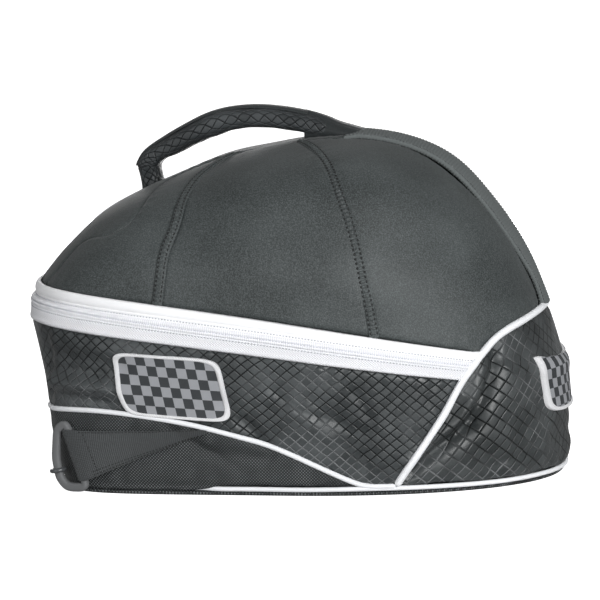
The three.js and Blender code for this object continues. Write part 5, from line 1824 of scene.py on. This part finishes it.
    def rear_foot(self) -> None:
        """Makes the wedge that runs out along the strip and flares into the spine."""
        form = self.maker.form
        columns, across = 70, 28
        share = np.linspace(1.02, 1.44, columns + 1)
        rows = REAR_FOOT.read(share)
        x = self.start + share * self.span + form.shift
        steps = np.linspace(-0.5, 0.5, across + 1)
        grid_x, grid_y = np.repeat(x, across + 1), np.outer(rows[:, 1] * self.grip_width, steps).ravel()
        low = form.skin(form.over_plan(grid_x, grid_y), 0.2 * MM)[0].reshape(columns + 1, across + 1, 3)

        def place(u: Array, v: Array) -> tuple[Array, Array]:
            """Puts the wedge's top over the strip."""
            i = np.rint(u * columns).astype(int)
            j = np.rint(v * across).astype(int)
            away = np.abs(2 * steps[j])
            round_off = (1 - away**3.2) ** 0.55
            groove = 0.5 * MM * (bell(away - 0.62, 0.05))
            height = np.maximum(rows[i, 0] * self.rise, -0.4 * MM) * round_off - 0.8 * MM * away**8 - groove
            points = low[i, j].copy()
            points[:, 2] += height
            return points, np.tile([0.0, 0.0, 1.0], (len(u), 1))

        mesh = self.maker.grid(
            "foot_rear", columns, across, place, lambda u, v, p: np.stack([u * 0.04, v * 0.04], -1)
        )
        piece = self.maker.dress(mesh, "foot_rear", Finish.TRIM, ["handle_foot_rear"], 0.6)
        self.maker.thicken(piece, 2 * MM)


@dataclass
class StrapLoop:
    """The webbing tab, the plastic ring it holds and the small bead on the ring, on one side."""

    maker: Maker
    layout: Layout
    side: Side
    thickness: float = 1.8 * MM
    height: float = 36 * MM
    bar: float = 2.5 * MM
    ring_height: float = 48 * MM
    ring_depth: float = 20.5 * MM
    floor: float = 2.0 * MM
    root_angle: float = 111.0
    foot_angle: float = 138.5
    head_angle: float = 141.5
    upper_drop: float = 0.012
    root_drop: float = 0.03
    rise_angle: float = 127.0
    corner: float = 4.0 * MM
    bead: float = 1.6 * MM
    stand_off: float = 0.7 * MM
    stitch_pitch: float = 2.4 * MM

    def flip(self, points: Array) -> Array:
        """Points moved to this piece's side."""
        return points * [1, self.side.sign, 1]

    def build(self) -> None:
        """Makes the three pieces."""
        form, layout = self.maker.form, self.layout
        gap = layout.gap
        bar_foot = self.bar + self.floor
        strap_foot = bar_foot + (self.ring_height - self.height) / 2
        bar_angles = np.array([self.foot_angle, self.head_angle])
        bar_levels = form.level_at(bar_angles, np.array([strap_foot, strap_foot + self.height]))
        bar_low, bar_high = bar_levels
        root = LOWER_SEAM.read(180 - self.root_angle)[0]
        low, low_out = form.skin(form.disk(bar_angles[:1], bar_levels[:1]))
        high, high_out = form.skin(form.disk(bar_angles[1:], bar_levels[1:]))
        out = unit(low_out[0] + high_out[0])
        inside = self.bar + gap
        outside = inside + self.thickness
        away = outside + 2 * gap
        start, finish = low[0] + out * away, high[0] + out * away
        axis = unit(finish - start)
        forward = unit(np.cross(axis, out))
        sideways = unit(np.cross(forward, axis))
        if forward[0] > 0:
            forward = -forward
        middle_radius = inside + self.thickness / 2
        path, wrap = 70, 26

        def sheet_points(v: Array) -> Array:
            """The webbing's middle lines, one for each height across it."""
            run = np.linspace(0, 1, path)
            last = mix(self.foot_angle, self.head_angle, v)[:, None] - 0.6
            wide = mix(self.root_angle, last, run[None])
            seam = LOWER_SEAM.read(180 - wide)[..., 0]
            upper = np.minimum(mix(root, bar_high, run[None] ** 0.8), seam - self.upper_drop)
            lower = mix(root - self.root_drop, bar_low, 1 - (1 - run) ** 0.9)[None]
            level = lower + (upper - lower) * v[:, None]
            lift = self.stand_off + self.thickness / 2
            close = np.clip((wide - self.rise_angle) / (last - self.rise_angle), 0, 1)
            lift = lift + (away + middle_radius - lift) * (close**2 * (3 - 2 * close))
            points = form.skin(form.disk(wide.ravel(), level.ravel()), lift.ravel())[0]
            points = points.reshape(len(v), path, 3)
            turn = np.linspace(math.pi / 2, -math.pi * 0.62, wrap)
            centre = mix(start, finish, v[:, None])
            spoke = forward * np.cos(turn)[:, None] + sideways * np.sin(turn)[:, None]
            loop = centre[:, None] + spoke[None] * middle_radius
            return np.concatenate([points, loop], 1)

        rows = 44
        shares = np.linspace(0, 1, rows + 1)
        lines = sheet_points(shares)
        smooth = lines.copy()
        for _ in range(6):
            smooth[:, 1:-1] = (smooth[:, :-2] + 2 * smooth[:, 1:-1] + smooth[:, 2:]) / 4
        count = lines.shape[1] - 1
        steps = np.linalg.norm(np.diff(smooth, axis=1), axis=-1)
        lengths = np.concatenate([np.zeros((rows + 1, 1)), np.cumsum(steps, 1)], 1)
        along = unit(np.gradient(smooth, axis=1))
        wide = unit(np.gradient(smooth, axis=0))
        normal = unit(np.cross(wide, along))
        if (normal[:, 0] @ out).mean() < 0:
            normal = -normal

        def tab(u: Array, v: Array) -> tuple[Array, Array]:
            """Puts the webbing's outer face in place."""
            i, j = np.rint(v * rows).astype(int), np.rint(u * count).astype(int)
            edge = 0.3 * MM * (bell(v, 0.02) + bell(v - 1, 0.02))
            lift = self.thickness / 2 - edge + 0.35 * MM * Ripple(81, 0.045).at(smooth[i, j])
            return self.flip(smooth[i, j] + normal[i, j] * lift[:, None]), self.flip(normal[i, j])

        def chart(u: Array, v: Array, points: Array) -> Array:
            """Cloth map along and across the webbing."""
            i, j = np.rint(v * rows).astype(int), np.rint(u * count).astype(int)
            return np.stack([lengths[i, j], v * self.height], -1)

        name = self.side.value
        mesh = self.maker.grid(f"webbing_{name}", count, rows, tab, chart)
        piece = self.maker.dress(mesh, f"webbing_{name}", Finish.WEBBING, [f"strap_tab_{name}"])
        self.maker.thicken(piece, self.thickness)
        self.tab, self.tab_lines = piece, (smooth, normal)
        self.ring(start, axis, forward, sideways)

    def sew(self) -> None:
        """Sews a double row along the tab's lower edge, one along its upper edge and one by the bar."""
        sewn = Stitching(self.maker, [self.tab], 1.5 * MM, 0.4 * MM)
        lines, normals = self.tab_lines
        rows = {f"low_{k}": (lines[k], normals[k]) for k in (2, 5)}
        rows["high"] = (lines[-3], normals[-3])
        rows = {key: (line[4:-30], out[4:-30]) for key, (line, out) in rows.items()}
        rows["bar"] = (lines[2:-2, 62], normals[2:-2, 62])
        for key, (line, out) in rows.items():
            name = f"stitches_tab_{key}_{self.side.value}"
            sewn.row(name, self.flip(line), self.flip(out), self.stitch_pitch, Finish.THREAD)

    def ring(self, start: Array, axis: Array, forward: Array, sideways: Array) -> None:
        """Makes the ring and its bead."""
        bar_foot = self.bar + self.floor
        foot = start - axis * (start[2] - bar_foot) / axis[2]
        spots = np.array(
            [
                foot + forward * depth * self.ring_depth + axis * high * self.ring_height
                for depth, high in RING
            ]
        )
        middles = []
        for k, spot in enumerate(spots):
            before, after = spots[k - 1], spots[(k + 1) % len(spots)]
            back = min(0.45, self.corner / np.linalg.norm(before - spot))
            ahead = min(0.45, self.corner / np.linalg.norm(after - spot))
            a, b = mix(spot, before, back), mix(spot, after, ahead)
            for t in np.linspace(0, 1, 9):
                middles.append((1 - t) ** 2 * a + 2 * t * (1 - t) * spot + t**2 * b)
        points = np.array(middles)
        closed = np.vstack([points, points[:1]])
        lengths = lengths_along(closed)
        at = np.linspace(0, lengths[-1], 161)[:-1]
        points = np.stack([np.interp(at, lengths, closed[:, k]) for k in range(3)], -1)
        name = self.side.value
        outs = np.broadcast_to(sideways, points.shape)
        round_place = self.maker.tube(points, outs, 1.0, 24, True)

        def place(u: Array, v: Array) -> tuple[Array, None]:
            """Flattens the bar's round section a little."""
            spot = round_place(u, v)[0]
            i = np.rint(u * len(points)).astype(int) % len(points)
            spoke = spot - points[i]
            turn = 2 * math.pi * np.rint(v * 24) / 24
            reach = (np.abs(np.cos(turn)) ** 3.2 + np.abs(np.sin(turn)) ** 3.2) ** (-1 / 3.2)
            off_plane = (spoke @ sideways)[:, None] * sideways
            free = np.clip((points[i] - foot) @ forward / (0.2 * self.ring_depth), 0, 1)
            wide = (spoke - off_plane) * (0.97 + 0.3 * free)[:, None] + off_plane * 0.97
            return self.flip(points[i] + wide * (reach * self.bar)[:, None]), None

        mesh = self.maker.grid(f"ring_{name}", len(points), 24, place, closed=True)
        self.maker.dress(mesh, f"ring_{name}", Finish.RING, [f"strap_ring_{name}"])
        a, b = spots[4], spots[5]
        middle, run = mix(a, b, 0.62), unit(b - a)
        side_way = unit(np.cross(run, sideways))
        turn = 2 * math.pi * np.arange(40) / 40
        spokes = sideways * np.cos(turn)[:, None] + side_way * np.sin(turn)[:, None]
        loop = middle + spokes * (self.bar + 2 * self.layout.gap + self.bead)
        bead_place = self.maker.tube(loop, np.broadcast_to(run, loop.shape), self.bead, 16, True)
        mesh = self.maker.grid(
            f"bead_{name}", 40, 16, lambda u, v: (self.flip(bead_place(u, v)[0]), None), closed=True
        )
        self.maker.dress(mesh, f"bead_{name}", Finish.BEAD, [f"ring_bead_{name}"])


@dataclass
class Stitching:
    """Rows of stitches, seated on the pieces under them."""

    maker: Maker
    bodies: Sequence[bpy.types.Object] = field(default_factory=list)
    length: float = 2.0 * MM
    radius: float = 0.85 * MM

    def __post_init__(self) -> None:
        """Gathers the surfaces that the stitches lie on."""
        corners: list[Vector] = []
        faces: list[tuple[int, ...]] = []
        for body in self.bodies:
            start = len(corners)
            corners.extend(vertex.co.copy() for vertex in body.data.vertices)
            faces.extend(tuple(start + k for k in face.vertices) for face in body.data.polygons)
        self.tree = BVHTree.FromPolygons(corners, faces)

    def row(self, name: str, points: Array, outs: Array, pitch: float, finish: Finish) -> None:
        """Sews one row along points.

        Args:
            name: Name of the piece.
            points: Line on the skin.
            outs: Ways out along it.
            pitch: Distance from one stitch to the next.
            finish: The thread's finish.
        """
        lengths = lengths_along(points)
        shape = bmesh.new()
        for at in np.arange(pitch, lengths[-1] - pitch / 2, pitch):
            ends = []
            for way in (-0.5, 0.5):
                goal = at + way * self.length
                spot = Vector([float(np.interp(goal, lengths, points[:, k])) for k in range(3)])
                out = Vector([float(np.interp(goal, lengths, outs[:, k])) for k in range(3)]).normalized()
                hit = self.tree.ray_cast(spot + out * 0.008, -out, 0.016)[0]
                ends.append((hit or spot, out))
            (a, out), (b, _) = ends
            if (b - a).length > 2 * self.length:
                continue
            along = (b - a).normalized()
            across = out.cross(along).normalized()
            up = along.cross(across)
            turn = Matrix((across, up, along)).transposed().to_4x4()
            size = Matrix.Diagonal((self.radius, self.radius * 0.6, self.length / 2, 1))
            where = Matrix.Translation((a + b) / 2 + up * self.radius * 0.25)
            bmesh.ops.create_uvsphere(shape, u_segments=6, v_segments=4, radius=1, matrix=where @ turn @ size)
        for face in shape.faces:
            face.smooth = True
        self.maker.dress(as_mesh(shape, name), name, finish)

    def beside(self, name: str, line: Line, offset: float, pitch: float, finish: Finish) -> None:
        """Sews a row beside a line, on both sides of the bag."""
        points = line.points + line.frame()[1] * offset
        for side in Side:
            flip = np.array([1, side.sign, 1])
            self.row(f"{name}_{side.value}", points * flip, line.outs * flip, pitch, finish)


@dataclass
class Badge:
    """A generic slanted patch with chequers and a satin border."""

    maker: Maker
    layout: Layout
    name: str
    along: float
    height: float
    width: float = 78 * MM
    tall: float = 44 * MM
    slant: float = 0.2
    tilt: float = 0.06
    rise: float = 1.7 * MM
    squareness: float = 7.0
    border_rise: float = 1.0 * MM
    border_tuck: float = 2.2 * MM
    side: Side = Side.NEAR

    def spot(self, a: Array, b: Array, lift: Array) -> tuple[Array, Array]:
        """Points on the wall for places on the patch."""
        x = a + self.slant * b
        disk = self.layout.wall_spot(self.along + x, self.height + b + self.tilt * x)
        points, outs = self.maker.form.skin(disk, lift)
        return points * [1, self.side.sign, 1], outs * [1, self.side.sign, 1]

    def build(self) -> None:
        """Makes the field and its border."""
        for part, start, end, finish in (
            ("field", 0.0, 0.93, Finish.PATCH),
            ("border", 0.9, 1.0, Finish.BORDER),
        ):
            rows = 24 if part == "field" else 10

            def flat(u: Array, v: Array, start: float = start, end: float = end) -> tuple[Array, Array]:
                """Places on the patch for shares round it and out from its middle."""
                turn = 2 * math.pi * u
                box = self.squareness
                reach = (np.abs(np.cos(turn)) ** box + np.abs(np.sin(turn)) ** box) ** (-1 / box)
                reach = reach * mix(start, end, v) / 2
                return reach * np.cos(turn) * self.width, reach * np.sin(turn) * self.tall

            def place(u: Array, v: Array, part: str = part) -> tuple[Array, Array]:
                """Puts the part on the wall."""
                a, b = flat(np.where(u > 0.9999, 0.0, u), v)
                if part == "field":
                    lift = np.full(len(u), self.rise)
                else:
                    dome = np.sqrt(np.clip(1 - (2 * v - 1) ** 2, 0, 1))
                    lift = self.rise + self.border_rise * dome - self.border_tuck * (v > 0.97)
                return self.spot(a, b, lift)

            def chart(u: Array, v: Array, points: Array, part: str = part) -> Array:
                """Cloth map of the part."""
                a, b = flat(u, v)
                return np.stack([a, b], -1) if part == "field" else np.stack([u * 0.19, v * 0.002], -1)

            mesh = self.maker.grid(f"{self.name}_{part}", 160, rows, place, chart, closed=True)
            self.maker.dress(mesh, f"{self.name}_{part}", finish)


@dataclass
class Studio:
    """A pale floor, soft light and the camera."""

    azimuth: float = 9.0
    elevation: float = 7.0
    roll: float = -0.5
    distance: float = 1.6
    field: float = 16.04
    target: tuple[float, float, float] = (-0.0063, 0.0, 0.123)
    ambient: float = 0.3
    lamp_distance: float = 2.2

    def build(self, shift: float) -> None:
        """Sets up the scene round the bag."""
        self.floor()
        self.world()
        self.lamps()
        self.camera(shift)
        bpy.context.scene.view_settings.view_transform = "Standard"

    def floor(self) -> None:
        """Lays a plain pale floor and stands a pale wall far behind the bag."""
        for name, where in (
            ("floor", Matrix.Identity(4)),
            ("backdrop", Matrix.Translation((0, 5, 0)) @ Matrix.Rotation(math.pi / 2, 4, "X")),
        ):
            shape = bmesh.new()
            bmesh.ops.create_grid(shape, x_segments=1, y_segments=1, size=8, matrix=where)
            mesh = as_mesh(shape, name)
            piece = bpy.data.objects.new(name, mesh)
            tree = Tree(f"{name}_paper")
            tree.put("Base Color", (0.9, 0.9, 0.9, 1.0))
            tree.put("Roughness", 0.95)
            tree.put("Specular IOR Level", 0.0)
            tree.put("Emission Color", (1.0, 1.0, 1.0, 1.0))
            tree.put("Emission Strength", 1.0)
            mesh.materials.append(tree.material)
            piece.visible_diffuse = piece.visible_glossy = False
            bpy.context.scene.collection.objects.link(piece)

    def world(self) -> None:
        """Lights the bag evenly from all round."""
        world = bpy.data.worlds.new("studio")
        bpy.context.scene.world = world
        world.use_nodes = True
        ground = world.node_tree.nodes["Background"]
        ground.inputs["Color"].default_value = (1.0, 1.0, 1.0, 1.0)
        ground.inputs["Strength"].default_value = self.ambient

    def lamps(self) -> None:
        """Hangs the soft boxes."""
        for name, azimuth, elevation, size, power in (
            ("key", 33.0, 14.0, 1.1, 47.0),
            ("fill", -30.0, 10.0, 1.3, 10.0),
            ("back", 188.0, 4.0, 1.4, 20.0),
        ):
            data = bpy.data.lights.new(name, "AREA")
            data.shape = "SQUARE"
            data.size = size
            data.energy = power
            lamp = bpy.data.objects.new(name, data)
            way = facing(azimuth, elevation)
            lamp.location = way * self.lamp_distance + Vector((0, 0, 0.12))
            lamp.rotation_euler = way.to_track_quat("Z", "Y").to_euler()
            bpy.context.scene.collection.objects.link(lamp)

    def camera(self, shift: float) -> None:
        """Puts the camera at the photograph's angle."""
        data = bpy.data.cameras.new("camera")
        data.sensor_width = 36
        data.lens = 18 / math.tan(math.radians(self.field) / 2)
        data.clip_end = 50
        camera = bpy.data.objects.new("camera", data)
        a, r = math.radians(self.azimuth), math.radians(self.roll)
        way = facing(self.azimuth, self.elevation)
        right = Vector((math.cos(a), math.sin(a), 0))
        up = way.cross(right)
        turned_right = right * math.cos(r) + up * math.sin(r)
        turned_up = up * math.cos(r) - right * math.sin(r)
        basis = Matrix((turned_right, turned_up, way)).transposed().to_4x4()
        middle = Vector(self.target) + Vector((shift, 0, 0))
        camera.matrix_world = Matrix.Translation(middle + way * self.distance) @ basis
        bpy.context.scene.collection.objects.link(camera)
        bpy.context.scene.camera = camera


def main() -> None:
    """Builds and dresses the whole bag."""
    logging.basicConfig(level=logging.INFO, format="%(name)s %(message)s")
    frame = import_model()
    log.info("frame has %d nodes", len(frame["nodes"]))
    plain = BodyForm()
    shift = float(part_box("base_panel")[1][0]) - 0.976 * plain.half_length
    form = BodyForm(shift=shift)
    layout = Layout(form)
    maker = Maker(form)
    panels = PanelBuilder(maker, layout)
    walls = Walls(panels).build()
    lid = Lid(panels)
    domes = lid.build()
    zips = Zip(panels).build()
    Cords(panels).build()
    Handle(maker).build()
    straps = [StrapLoop(maker, layout, side) for side in Side]
    for strap in straps:
        strap.build()
    seams = [piece for piece in maker.made if piece.name.startswith("seam_")]
    under = [*walls.values(), *domes.values(), *zips.values(), *seams]
    sewn, fine = Stitching(maker, under), Stitching(maker, under, 1.5 * MM, 0.45 * MM)
    for key in ("front", "rear"):
        for number, offset in enumerate((-lid.row_offset, lid.row_offset)):
            sewn.beside(f"stitches_{key}_{number}", lid.lines[key], offset, lid.stitch_pitch, Finish.THREAD)
    sewn.beside("stitches_spine", lid.lines["spine"], -2.4 * MM, 2.6 * MM, Finish.THREAD_GREY)
    shares = np.linspace(0.004, 0.996, 700)
    for number, level in enumerate((1.22, 1.43, 1.62)):
        levels = np.full_like(shares, level)
        points, outs = form.skin(form.disk(layout.column_angle(shares, levels), levels))
        fine.row(f"stitches_zip_{number}", points, outs, 2.2 * MM, Finish.THREAD_PALE)
    for strap in straps:
        strap.sew()
    along = float(np.interp(119.5, layout.chart_angles, layout.chart_lengths))
    for side in Side:
        Badge(maker, layout, f"badge_{side.value}", along, 78 * MM, side=side).build()
    rear = float(np.interp(0.0, layout.chart_angles, layout.chart_lengths))
    Badge(maker, layout, "badge_rear", rear, 74 * MM, 122 * MM, 50 * MM, 0.2, 0.0, 2.6 * MM).build()
    Studio().build(shift)
    bpy.context.view_layer.update()


if __name__ == "__main__":
    main()
